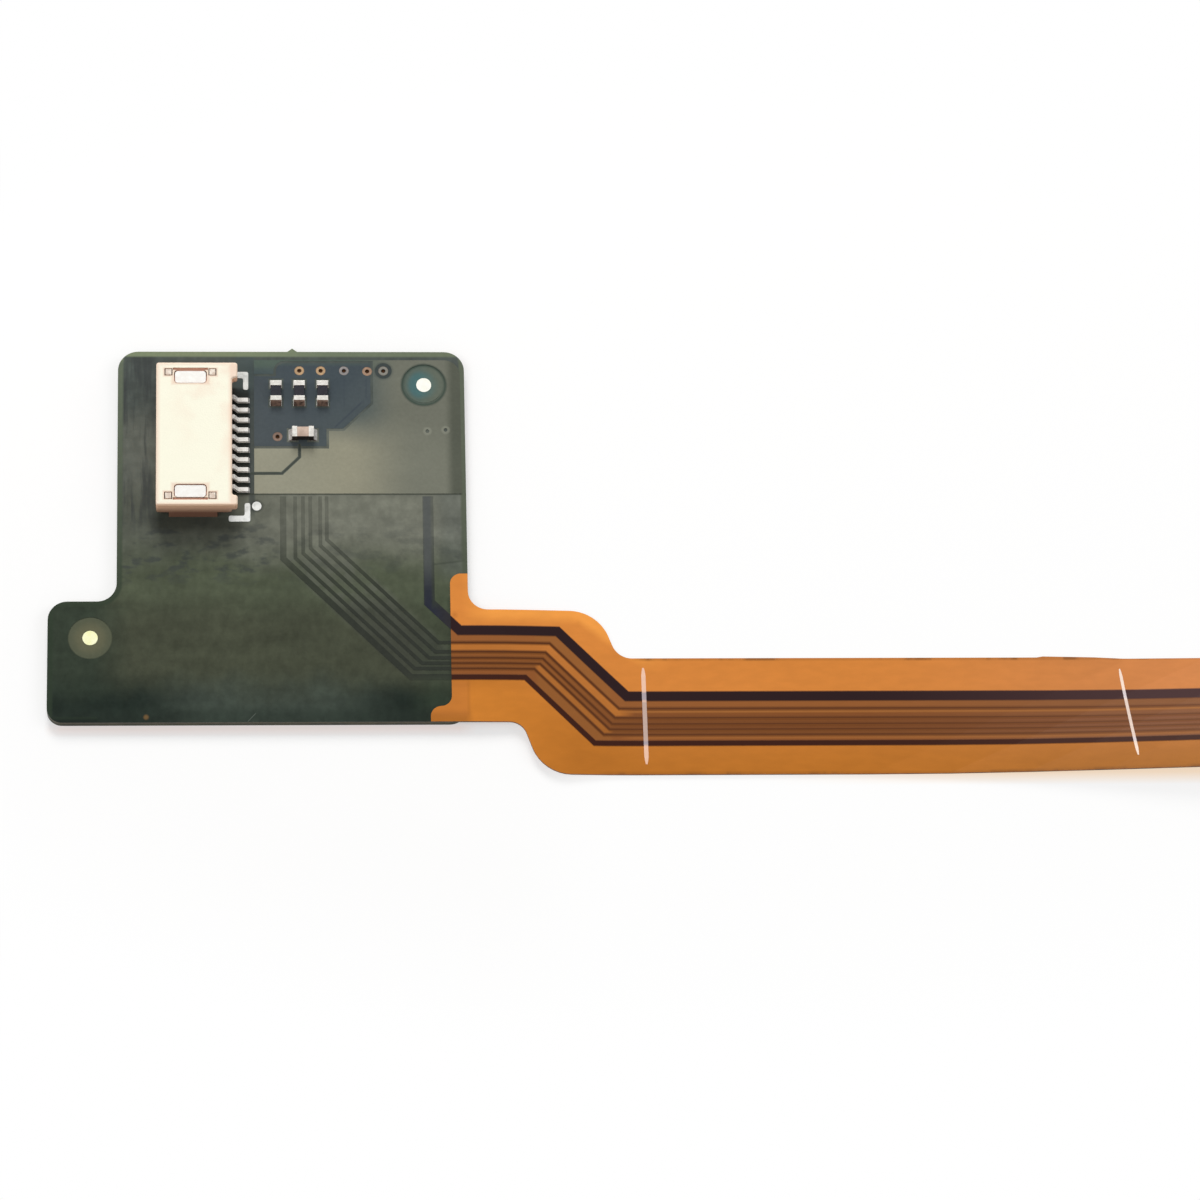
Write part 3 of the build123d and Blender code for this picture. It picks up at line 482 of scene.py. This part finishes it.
def pour_look(name, blue):
    """Mask over a copper area: blue over the power copper, olive over the ground copper."""
    look = Look(name, specular=0.13)
    x, y = look.x, look.y
    cloud = look.noise(0.5, (0.6, 1, 1), 3, 7)
    if blue:
        color = look.mix(look.soft(x + y, 3.0, 9.5), tone(74, 82, 86), tone(66, 76, 82))
        color = look.mix(look.soft(x - y, -5.6, -3.6) * 0.3, color, tone(84, 92, 91))
        edge = look.line(x - y, -3.35, 0.05, 0.05) * look.gate(x, 2.0, 3.3, 0.1)
        side = look.line(x, 2.46, 0.02, 0.05) * look.gate(y, 6.4, 7.9, 0.1) * 0.6
        edge = look.math("MAXIMUM", edge, side)
        side = look.line(x, 3.5, 0.03, 0.05) * look.gate(y, 6.8, 7.9, 0.1) * 0.7
        edge = look.math("MAXIMUM", edge, side)
        color = look.mix(edge * 0.6, color, tone(56, 64, 74))
        color = look.mix(look.soft(y, 8.4, 8.65) * 0.5, color, tone(80, 94, 86))
    else:
        bright = look.mix(look.soft(x, -1.0, 2.5), tone(150, 149, 131), tone(144, 142, 123))
        right = look.mix(look.soft(x, 2.5, 6.0), bright, tone(118, 120, 107))
        top = look.mix(look.soft(y, 8.15, 8.6), tone(72, 85, 86), tone(82, 97, 88))
        top = look.mix(look.soft(x, 2.6, 5.2), top, tone(111, 113, 101))
        color = look.mix(look.soft(y + look.ramp(x, -2, 4, 0.0, 0.8), 4.8, 7.2), right, top)
        color = look.mix(look.soft(x, 7.1, 7.6) * 0.85, color, tone(80, 84, 73))
        ring = look.line(distance(look, PAD_EAST), 1.04, 0.04, 0.05)
        color = look.mix(ring * 0.8, color, tone(56, 70, 62))
        halo = look.line(distance(look, LONE_VIA), 0.42, 0.03, 0.06)
        color = look.mix(halo * 0.5, color, tone(66, 74, 72))
        for place in COVERED_VIAS:
            away = distance(look, place)
            color = look.mix(look.ramp(away, 0.16, 0.24, 0.55, 0.0), color, tone(140, 142, 128))
    color = look.shade(color, look.ramp(cloud, 0.3, 0.7, 0.94, 1.05))
    return mask_finish(look, color)


def trace_look():
    """Mask over a conductor: darker and bluer than the ground around it."""
    look = Look("mask_over_trace", specular=0.13)
    x, y = look.x, look.y
    color = look.shade(mask_ground(look, 0.0), 0.93)
    depth = look.ramp(y, -2.6, 0.6, 0.72, 0.28) * look.ramp(y, -7.4, -6.9)
    color = look.mix(depth, color, tone(43, 47, 42))
    middle = look.ramp(look.math("ABSOLUTE", x - 6.26), 0.12, 0.24, 1.0, 0.25)
    blue = look.gate(x, 5.9, 7.4, 0.1) * look.ramp(x + y, 1.8, 2.2)
    navy = look.mix(look.ramp(x, 6.5, 7.1), tone(38, 41, 56), tone(44, 42, 48))
    navy = look.mix(look.ramp(y, -2.8, -1.4), navy, tone(80, 84, 85))
    middle = look.math("MAXIMUM", middle, look.ramp(y, -3.2, -3.8))
    color = look.mix(blue * look.ramp(y, -3.6, -2.6, 0.9, 0.75) * middle, color, navy)
    for place in COVERED_VIAS:
        away = distance(look, place)
        color = look.mix(look.ramp(away, 0.22, 0.28, 0.9, 0.0), color, tone(132, 134, 120))
        color = look.mix(look.ramp(away, 0.07, 0.12, 0.9, 0.0), color, tone(52, 54, 48))
    trace = look.gate(x, -2.2, 0.6, 0.02) * look.gate(y, 2.8, 4.7, 0.02)
    color = look.mix(trace * 0.85, color, tone(66, 72, 66))
    return mask_finish(look, color)


def plastic_look():
    """The warm cream plastic of the socket."""
    look = Look("socket_plastic", specular=0.25)
    x, y, z = look.x, look.y, look.z
    cloud = look.noise(0.7, (1, 1, 1), 4, 6)
    grain = look.noise(14.0, (1, 1, 1), 3, 1)
    side = look.ramp(z, 1.86, 1.94, 1.0, 0.0)
    blush = look.soft(cloud, 0.42, 0.70) * look.soft(x + y * 0.6, -4.0, 1.5)
    top = look.mix(blush * 0.8, tone(252, 250, 230), tone(248, 228, 208))
    # painted shade: the walls in a warmer, darker tone than the top, darkest towards the board
    shaded_wall = look.mix(look.ramp(z, 1.0, 1.65), tone(146, 104, 84), tone(255, 206, 172))
    color = look.mix(side, top, shaded_wall)
    rim = inside_box(look, -6.29, 0.88, -2.78, 8.03)
    rim = look.ramp(rim, 0.03, 0.22, 0.6, 0.0)
    color = look.mix(rim * (1.0 - side), color, tone(242, 206, 184))
    # painted shade on the upper part of the south wall
    south = look.ramp(y, 0.89, 0.98, 1.0, 0.0) * look.ramp(z, 1.7, 1.8)
    color = look.mix(south * 0.8, color, tone(255, 208, 172))
    # painted shade: pinkish rims round the fittings, and on the walls of their narrow seams a warm
    # darker tone that paints their shade and bounced light
    across = look.math("ABSOLUTE", x - FITTING_X)
    along = look.math("ABSOLUTE", y - FITTING_Y)
    tab = look.math("MAXIMUM", across - 0.80, look.math("ABSOLUTE", along - 2.87) - 0.33)
    post = look.math(
        "MAXIMUM",
        look.math("ABSOLUTE", across - 1.04) - 0.17,
        look.math("ABSOLUTE", along - 3.08) - 0.17,
    )
    tab_shade = look.ramp(tab, 0.02, 0.14, 0.45, 0.0)
    post_shade = look.ramp(post, 0.02, 0.10, 0.5, 0.0)
    near = look.math("MAXIMUM", tab_shade, post_shade)
    color = look.mix(near * (1.0 - side), color, tone(232, 184, 160))
    seam_shade = look.ramp(z, 1.84, 1.93, 1.0, 0.0) * look.ramp(z, 1.2, 1.3)
    seam_shade = seam_shade * look.gate(x, -6.1, -3.3, 0.02) * look.gate(y, 0.95, 7.96, 0.02)
    color = look.mix(seam_shade * 0.85, color, tone(206, 152, 132))
    color = look.shade(color, look.ramp(grain, 0.3, 0.7, 0.985, 1.015))
    look.paint(color)
    look.gloss(look.ramp(grain, 0.3, 0.7, 0.50, 0.62))
    look.bump(cloud * 0.8 + grain * 0.35, 0.02)
    return look.material


def metal_look(name, color, dark, roughness, metallic=0.35):
    """Tin or solder, clouded and finely brushed."""
    look = Look(name, metallic=metallic, specular=0.4)
    cloud = look.noise(6.0, (1, 1, 1), 4, 8)
    brush = look.noise(15.0, (0.2, 1, 1), 3, 12)
    tint = look.mix(look.soft(cloud, 0.35, 0.7), dark, color)
    look.paint(look.shade(tint, look.ramp(brush, 0.3, 0.7, 0.97, 1.03)))
    look.gloss(look.ramp(cloud, 0.3, 0.7, roughness + 0.08, roughness - 0.06))
    look.bump(brush + cloud, 0.004)
    return look.material


def fitting_look():
    """Tinned tabs with slightly duller post ends."""
    look = Look("fitting_tin", roughness=0.40, metallic=0.25, specular=0.4)
    cloud = look.noise(5.0, (1, 1, 1), 4, 8)
    away = look.math("ABSOLUTE", look.x - FITTING_X)
    tab = look.mix(look.soft(cloud, 0.35, 0.7), tone(246, 243, 238), tone(252, 251, 247))
    post = look.mix(look.soft(cloud, 0.35, 0.7), tone(216, 196, 180), tone(244, 234, 220))
    color = look.mix(look.ramp(away, 0.80, 0.84), tab, post)
    # painted shade: the fitting walls below the top, down in the seams, in a warmer, darker tone
    color = look.mix(look.ramp(look.z, 1.5, 1.8, 1.0, 0.0), color, tone(226, 170, 146))
    look.paint(color)
    look.bump(cloud, 0.006)
    return look.material


def pad_look():
    """The alignment pads: the west one is yellower."""
    look = Look("pad_finish", roughness=0.45, metallic=0.15, specular=0.3)
    cloud = look.noise(3.0, (1, 1, 1), 4, 8)
    east = look.mix(look.soft(cloud, 0.35, 0.7), tone(250, 250, 238), tone(253, 252, 246))
    west = look.mix(look.soft(cloud, 0.35, 0.7), tone(250, 250, 192), tone(254, 254, 214))
    look.paint(look.mix(look.ramp(look.x, -1, 1), west, east))
    look.bump(cloud, 0.006)
    return look.material


def via_look():
    """Each plated ring has its own tarnish: gold, silver or copper, with painted shade in the hole.
    """
    look = Look("via_plating", roughness=0.45, metallic=0.25, specular=0.3)
    x, y = look.x, look.y
    cloud = look.noise(6.0, (1, 1, 1), 3, 13)
    color = look.mix(look.gate(x, 1.9, 3.0), tone(184, 152, 116), tone(140, 135, 134))
    color = look.mix(look.gate(x, 3.0, 3.9), color, tone(160, 130, 108))
    color = look.mix(look.gate(x, 3.95, 5.0), color, tone(130, 128, 120))
    color = look.mix(look.ramp(y, 5.6, 6.0, 1.0, 0.0), color, tone(136, 112, 98))
    for place in OPEN_VIAS + COVERED_VIAS:
        away = distance(look, place)
        # painted shade down the hole
        color = look.mix(look.ramp(away, 0.088, 0.115, 1.0, 0.0), color, tone(36, 28, 22))
        ring = look.ramp(away, 0.195, 0.225) * look.ramp(away, 0.4, 0.5, 0.5, 0.0)
        color = look.mix(ring, color, tone(96, 76, 58))
    look.paint(look.shade(color, look.ramp(cloud, 0.3, 0.7, 0.78, 1.15)))
    look.bump(cloud, 0.006)
    return look.material


def ceramic_look(name, color, dark, roughness, coat_color=None, coat_height=None):
    """A chip's body, with a coat above a height if it has one."""
    look = Look(name, specular=0.3)
    grain = look.noise(9.0, (1, 1, 1), 4, 14)
    cloud = look.noise(2.5, (1, 1, 1), 3, 15)
    body = look.mix(look.soft(cloud, 0.35, 0.65), dark, color)
    if coat_color:
        coated = look.ramp(look.z, coat_height - 0.03, coat_height - 0.015)
        body = look.mix(coated, body, coat_color)
    look.paint(look.shade(body, look.ramp(grain, 0.3, 0.7, 0.93, 1.07)))
    look.gloss(look.ramp(grain, 0.3, 0.7, roughness, roughness + 0.1))
    look.bump(grain, 0.008)
    return look.material


def plain_look(name, color, dark, roughness, scale, depth):
    """Two tones in clouds, with a fine weave."""
    look = Look(name, specular=0.25)
    cloud = look.noise(scale, (1, 1, 1), 4, 16)
    weave = look.noise(scale * 6, (1, 0.3, 1), 3, 17)
    tint = look.mix(look.soft(cloud, 0.35, 0.65), dark, color)
    look.paint(look.shade(tint, look.ramp(weave, 0.3, 0.7, 0.95, 1.05)))
    look.gloss(look.ramp(weave, 0.3, 0.7, roughness - 0.05, roughness + 0.05))
    look.bump(weave + cloud, depth)
    return look.material


def finger_look():
    """Copper under the film, gold plate on the bare fingers."""
    look = Look("copper_and_gold", roughness=0.36, metallic=0.8, specular=0.4)
    cloud = look.noise(3.0, (0.4, 1, 1), 4, 18)
    gold = look.mix(look.soft(cloud, 0.35, 0.65), tone(214, 172, 96), tone(236, 200, 126))
    look.paint(look.mix(look.ramp(look.x, 46.3, 46.4), tone(150, 84, 54), gold))
    look.bump(cloud, 0.004)
    return look.material


def dress(name, *materials, choose=None):
    """Gives a CAD node its materials, and each face its own where choose says which."""
    mesh = nodes[name].data
    mesh.materials.clear()
    for material in materials:
        mesh.materials.append(material)
    for face in mesh.polygons:
        face.material_index = choose(face.center / MM, face.normal) if choose else 0


def over_power(x, y):
    """Whether a raised spot of the mask lies over the power copper, by that copper's outline."""
    south, north, east = 4.42, 8.62, 3.70
    step_x, step_y = 1.62, 5.31
    slanted_side = -2.91
    notch_x, notch_y = -0.72, 7.95
    round_x, round_y, round_radius = -0.32, 8.22, 0.4
    if y < south or y > north or x > east or x - y > slanted_side:
        return False
    if (x > step_x and y < step_y) or (x < notch_x and y > notch_y):
        return False
    if x < round_x and y > round_y:
        return math.hypot(x - round_x, y - round_y) < round_radius
    return True


def over_capacitor_trace(x, y):
    """Whether a raised spot of the mask lies over the thin line from the capacitor."""
    riser_x, level_y, slant_x, slant_run = 0.36, 3.05, -0.46, 0.82
    centre = level_y + min(max(x - slant_x, 0), slant_run)
    on_riser = abs(x - riser_x) < 0.06 and 3.8 < y < 4.56
    return on_riser or (-1.96 < x < 0.42 and abs(y - centre) < 0.08)


def mask_part(center, normal):
    """0 the plain mask, 1 over the power copper, 2 over the ground copper, 3 over a conductor."""
    x, y, z = center
    raised, bundle_top, ring_radius = 0.466, 2.0, 0.24
    if z < raised:
        return 0
    if y < bundle_top or over_capacitor_trace(x, y):
        return 3
    if min(math.hypot(x - via[0], y - via[1]) for via in COVERED_VIAS) < ring_radius:
        return 3
    return 1 if over_power(x, y) else 2


# Materials
film_top = film_look("film_over_conductors", 1.0)
film_bottom = film_look("film_under_plane", 0.35)
film_edge = plain_look("film_edge", tone(74, 66, 44), tone(52, 50, 34), 0.5, 1.4, 0.006)
film_cut = plain_look("film_cut", tone(140, 84, 38), tone(104, 62, 28), 0.5, 0.8, 0.006)
mask_parts = [
    mask_look(),
    pour_look("mask_over_power", True),
    pour_look("mask_over_ground", False),
    trace_look(),
]
tin = metal_look("tin_plate", tone(246, 244, 238), tone(216, 213, 206), 0.36)
lead_tin = metal_look(
    "contact_metal", tone(252, 251, 247), tone(236, 233, 227), 0.38, metallic=0.15,
)
solder = metal_look("solder", tone(232, 230, 226), tone(188, 184, 180), 0.30)
shaded_tin = plain_look("shaded_tin", tone(192, 162, 144), tone(160, 130, 116), 0.45, 3.0, 0.006)
# painted shade: near-black tin for the capacitor terminals' south sides
deep_shaded_tin = plain_look("deep_shaded_tin", tone(66, 54, 48), tone(40, 32, 30), 0.45, 3.0, 0.006)
# painted shade for the chip solder's south-facing sides
solder_in_shade = plain_look("shaded_solder", tone(128, 102, 88), tone(78, 62, 54), 0.40, 5.0, 0.01)
fitting_tin = fitting_look()
pad_tin = pad_look()
copper_gold = finger_look()
plating = via_look()
cream = plastic_look()
laminate = plain_look("stiffener_laminate", tone(66, 66, 44), tone(48, 52, 36), 0.55, 0.9, 0.01)
bond = plain_look("adhesive_film", tone(84, 72, 44), tone(66, 58, 36), 0.45, 1.2, 0.006)
backing = plain_look("end_backing", tone(186, 116, 48), tone(170, 102, 40), 0.42, 0.7, 0.006)
resistor_skin = ceramic_look(
    "resistor_ceramic", tone(96, 84, 80), tone(74, 64, 62), 0.4, tone(30, 30, 40), 0.79,
)
capacitor_skin = ceramic_look("capacitor_ceramic", tone(206, 182, 166), tone(182, 158, 142), 0.45)
# painted shade: the capacitor's south side and underside, near black
capacitor_shaded_face = ceramic_look("capacitor_shaded_side", tone(54, 44, 42), tone(36, 30, 30), 0.45)


def film_part(center, normal):
    """0 the faces of the film, 1 its dark edge at the board end, 2 its cut edge along the tail."""
    tail_start, bare_start, bare_south = 8.06, 7.2, -8.4
    if abs(normal.z) > 0.5:
        return 0
    if center.x > tail_start:
        return 2
    return 0 if center.x > bare_start and center.y > bare_south else 1


def facing_south(center, normal):
    """1 the side towards the viewer and the underside, which get painted shade, 0 the rest."""
    return 1 if normal.y < -0.5 or normal.z < -0.5 else 0


# Every CAD node gets its materials
for name in nodes:
    if name.startswith("resistor_body"):
        dress(name, resistor_skin)
    elif name.startswith("contact_") and name[-1].isdigit():
        dress(name, lead_tin)
    elif name.startswith("hold_down"):
        dress(name, fitting_tin)
    elif "terminals" in name:
        # terminal faces turned south get painted shade
        dress(name, tin, deep_shaded_tin if "capacitor" in name else shaded_tin, choose=facing_south)
    elif name.endswith("_lands"):
        dress(name, tin)
    elif "conductor" in name or "pour" in name or name in ("capacitor_trace", "return_plane"):
        dress(name, copper_gold)
dress("board_stiffener", laminate)
dress("stiffener_adhesive", bond)
dress("bottom_coverlay", film_bottom, film_edge, film_cut, choose=film_part)
dress("base_film", film_top, film_edge, film_cut, choose=film_part)
dress("tail_coverlay", film_top, film_edge, film_cut, choose=film_part)
dress("end_stiffener", backing)
dress("alignment_pad_east", pad_tin)
dress("alignment_pad_west", pad_tin)
dress("via_barrels", plating)
dress("connector_housing", cream)
dress("contact_solder", solder)
# chip solder faces turned south get painted shade
dress("chip_solder", solder, solder_in_shade, choose=lambda center, normal: 1 if normal.y < -0.2 else 0)
dress("capacitor_body", capacitor_skin, capacitor_shaded_face, choose=facing_south)
dress("solder_mask", *mask_parts, choose=mask_part)


# Print: thin closed pieces of white ink
def extruded(name, outlines, low, high, material):
    """Closed flat pieces between two heights, from outlines in millimetres."""
    shape = bmesh.new()
    for outline in outlines:
        rows = []
        for height in (low, high):
            rows.append([shape.verts.new((x * MM, y * MM, height(x, y) * MM)) for x, y in outline])
        count = len(outline)
        shape.faces.new(rows[1])
        shape.faces.new(rows[0][::-1])
        for i in range(count):
            j = (i + 1) % count
            shape.faces.new((rows[0][i], rows[0][j], rows[1][j], rows[1][i]))
    bmesh.ops.recalc_face_normals(shape, faces=shape.faces)
    mesh = bpy.data.meshes.new(name)
    shape.to_mesh(mesh)
    shape.free()
    mesh.materials.append(material)
    piece = bpy.data.objects.new(name, mesh)
    bpy.context.scene.collection.objects.link(piece)
    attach(piece, "root")


def rounded(points, radius, steps=5):
    """An outline with each corner rounded, points in millimetres."""
    result = []
    count = len(points)
    for i, point in enumerate(points):
        here = Vector(point)
        before = (Vector(points[i - 1]) - here).normalized()
        after = (Vector(points[(i + 1) % count]) - here).normalized()
        start = here + before * radius
        end = here + after * radius
        for k in range(steps + 1):
            t = k / steps
            spot = start.lerp(here, t).lerp(here.lerp(end, t), t)
            result.append((spot.x, spot.y))
    return result


def disc(x, y, radius, steps=28):
    """The outline of a round mark."""
    angles = [2 * math.pi * k / steps for k in range(steps)]
    return [(x + radius * math.cos(angle), y + radius * math.sin(angle)) for angle in angles]


def ink_look():
    """White ink, thin in places."""
    look = Look("white_ink", roughness=0.6, specular=0.3)
    grain = look.noise(5.0, (1, 1, 1), 4, 19)
    cover = look.soft(grain, 0.3, 0.6)
    look.paint(look.mix(cover, tone(214, 217, 214), tone(240, 242, 239)))
    look.bump(grain, 0.02)
    return look.material


def line_look():
    """The pale lines across the tail, dimmer over the return plane and the dark conductors."""
    look = Look("cut_line", roughness=0.55, specular=0.2)
    y = look.y
    grain = look.noise(3.0, (1, 1, 1), 4, 20)
    later = look.ramp(look.x, 20, 30)
    pale = look.mix(later, tone(240, 196, 170), tone(250, 226, 208))
    dim = look.mix(later, tone(196, 170, 158), tone(232, 210, 196))
    deep = look.mix(later, tone(164, 156, 166), tone(216, 206, 210))
    color = look.mix(look.gate(y, -10.15, -8.15, 0.06), pale, dim)
    color = look.mix(look.line(y, -7.89, 0.2, 0.05) * 0.9, color, deep)
    color = look.mix(look.line(y, -10.18, 0.1, 0.05) * 0.9, color, deep)
    look.paint(look.shade(color, look.ramp(grain, 0.3, 0.7, 0.96, 1.04)))
    look.bump(grain, 0.01)
    return look.material


board_top = 0.46
ink_sunk, ink_height = 0.004, 0.022
mark_radius = 0.10
pin_one_dot = disc(-1.64, 1.41, 0.22)
upper_mark = rounded(
    [(-2.56, 8.17), (-2.02, 8.17), (-2.02, 7.26), (-2.26, 7.26), (-2.26, 7.85), (-2.56, 7.85)],
    mark_radius,
)
lower_mark = rounded(
    [(-2.94, 0.64), (-1.94, 0.64), (-1.94, 1.56), (-2.20, 1.56), (-2.20, 0.93), (-2.94, 0.93)],
    mark_radius,
)
extruded(
    "corner_marks", [upper_mark, lower_mark, pin_one_dot],
    lambda x, y: board_top - ink_sunk, lambda x, y: board_top + ink_height,
    ink_look(),
)

# The film's curl: it starts at this place and climbs along this angle
CURL_X, CURL_Y = 39.0, -6.03
CURL_ANGLE = math.radians(65.5)
CURL_RUN, CURL_RISE, CURL_STEPS = 12.0, 1.68, 8


def film_height(x, y):
    """Height of the film's lying shape above the table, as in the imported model."""
    along, across = math.cos(CURL_ANGLE), math.sin(CURL_ANGLE)
    run = ((x - CURL_X) * along - (y - CURL_Y) * across) / CURL_RUN
    if run <= 0:
        return 0.0
    step = min(int(run * CURL_STEPS), CURL_STEPS - 1)
    low, high = (
        CURL_RISE * (3 * t**2 - 2 * t**3) for t in (step / CURL_STEPS, (step + 1) / CURL_STEPS)
    )
    return low + (high - low) * min(run * CURL_STEPS - step, 1.0)


def scored(start, end, width, parts=24):
    """Outlines of a fine line with tapered ends, in short lengths that follow the film."""
    start, end = Vector(start), Vector(end)
    side = Vector((-(end - start).y, (end - start).x)).normalized()
    pieces = []
    for k in range(parts):
        corners = []
        for t in (k / parts, (k + 1) / parts):
            half = width / 2 * min(1.0, 0.4 + 9 * min(t, 1 - t))
            spot = start.lerp(end, t)
            corners.append((spot + side * half, spot - side * half))
        (left, right), (next_left, next_right) = corners
        pieces.append([tuple(corner) for corner in (left, right, next_right, next_left)])
    return pieces


line_bottom, line_top = 0.126, 0.138
extruded(
    "crossing_lines",
    scored((16.15, -6.50), (16.19, -11.20), 0.20) + scored((38.36, -6.61), (38.90, -11.0), 0.14),
    lambda x, y: film_height(x, y) + line_bottom, lambda x, y: film_height(x, y) + line_top,
    line_look(),
)


# Stage
def table_look():
    """White table, with a painted amber glow under the lifted tail and a painted warm shadow along
    the board end's south edge.
    """
    look = Look("table_white", roughness=0.9, specular=0.0)
    x, y = look.x, look.y
    # painted amber glow: the table tinted under the lifted tail, as by light through the film
    glow = look.soft(x, 20.0, 34.0) * look.ramp(x, 43.0, 48.0, 1.0, 0.0)
    glow = glow * look.gate(y, -11.9, -10.8, 0.3)
    amber_glow_tint = look.mix(glow * 0.9, WHITE, tone(250, 170, 80))
    # painted warm shadow along the board end's south edge
    blush = look.gate(x, -11.0, 8.0, 0.4) * look.line(y, -9.35, 0.2, 0.2)
    look.paint(look.mix(blush * 0.9, amber_glow_tint, tone(255, 216, 204)))
    # seen directly or in a gloss, the table is plain white but for the shade near the part
    beside = x - 19
    far = look.math("SQRT", beside * beside * 0.25 + y * y)
    bare = look.ramp(x, 8.0, 15.0, 0.45, 0.78, smooth=True)
    light_path = look.nodes.new("ShaderNodeLightPath")
    camera_ray, glossy_ray, passing_ray = (
        Field(look, light_path.outputs[kind])
        for kind in ("Is Camera Ray", "Is Glossy Ray", "Is Transmission Ray")
    )
    seen = look.math("MINIMUM", camera_ray + glossy_ray + passing_ray, 1.0)
    seen = seen * look.ramp(far, 16.0, 26.0, bare, 1.0, smooth=True)
    plain = look.nodes.new("ShaderNodeEmission")
    # the plain white is tinted by the painted amber glow under the tail
    look.feed(plain.inputs["Color"], look.mix(glow * 0.5, WHITE, tone(255, 214, 150)))
    blend = look.nodes.new("ShaderNodeMixShader")
    look.links.new(seen.socket, blend.inputs[0])
    look.links.new(look.shader.outputs[0], blend.inputs[1])
    look.links.new(plain.outputs[0], blend.inputs[2])
    look.links.new(blend.outputs[0], look.nodes["Material Output"].inputs["Surface"])
    return look.material


floor_mesh = bpy.data.meshes.new("table")
shape = bmesh.new()
bmesh.ops.create_grid(shape, x_segments=1, y_segments=1, size=1.2)
shape.to_mesh(floor_mesh)
shape.free()
floor = bpy.data.objects.new("table", floor_mesh)
floor.location = (0, 0, -0.00002)
bpy.context.scene.collection.objects.link(floor)
floor_mesh.materials.append(table_look())

# World: the camera sees plain white, the part a dimmer sky
SKY_STRENGTH = 0.38
world = bpy.data.worlds.new("world")
world.use_nodes = True
bpy.context.scene.world = world
sky = world.node_tree
background = sky.nodes["Background"]
background.inputs["Color"].default_value = WHITE
path = sky.nodes.new("ShaderNodeLightPath")
sum_rays = sky.nodes.new("ShaderNodeMath")
sum_rays.operation = "MAXIMUM"
sky.links.new(path.outputs["Is Camera Ray"], sum_rays.inputs[0])
sky.links.new(path.outputs["Is Transmission Ray"], sum_rays.inputs[1])
level = sky.nodes.new("ShaderNodeMapRange")
level.inputs["To Min"].default_value = SKY_STRENGTH
level.inputs["To Max"].default_value = 1.0
sky.links.new(sum_rays.outputs[0], level.inputs["Value"])
sky.links.new(level.outputs["Result"], background.inputs["Strength"])


def lamp(name, place, target, size, power, color):
    """A round area light, with place, target and size in millimetres."""
    data = bpy.data.lights.new(name, "AREA")
    data.shape = "DISK"
    data.size = size * MM
    data.energy = power
    data.color = color
    item = bpy.data.objects.new(name, data)
    item.location = Vector(place) * MM
    item.rotation_euler = (Vector(target) * MM - item.location).to_track_quat("-Z", "Y").to_euler()
    bpy.context.scene.collection.objects.link(item)


# Lamps: the main light comes from the far side
part_middle = (14, 0, 0)
lamp("window_light", (-30, 390, 290), part_middle, 220, 1.57, (1.0, 0.985, 0.965))
lamp("top_light", (-220, -120, 420), part_middle, 300, 0.50, (1.0, 1.0, 1.0))
lamp("side_light", (420, 60, 300), part_middle, 260, 0.34, (1.0, 1.0, 1.0))

bpy.context.scene.view_settings.view_transform = "Standard"
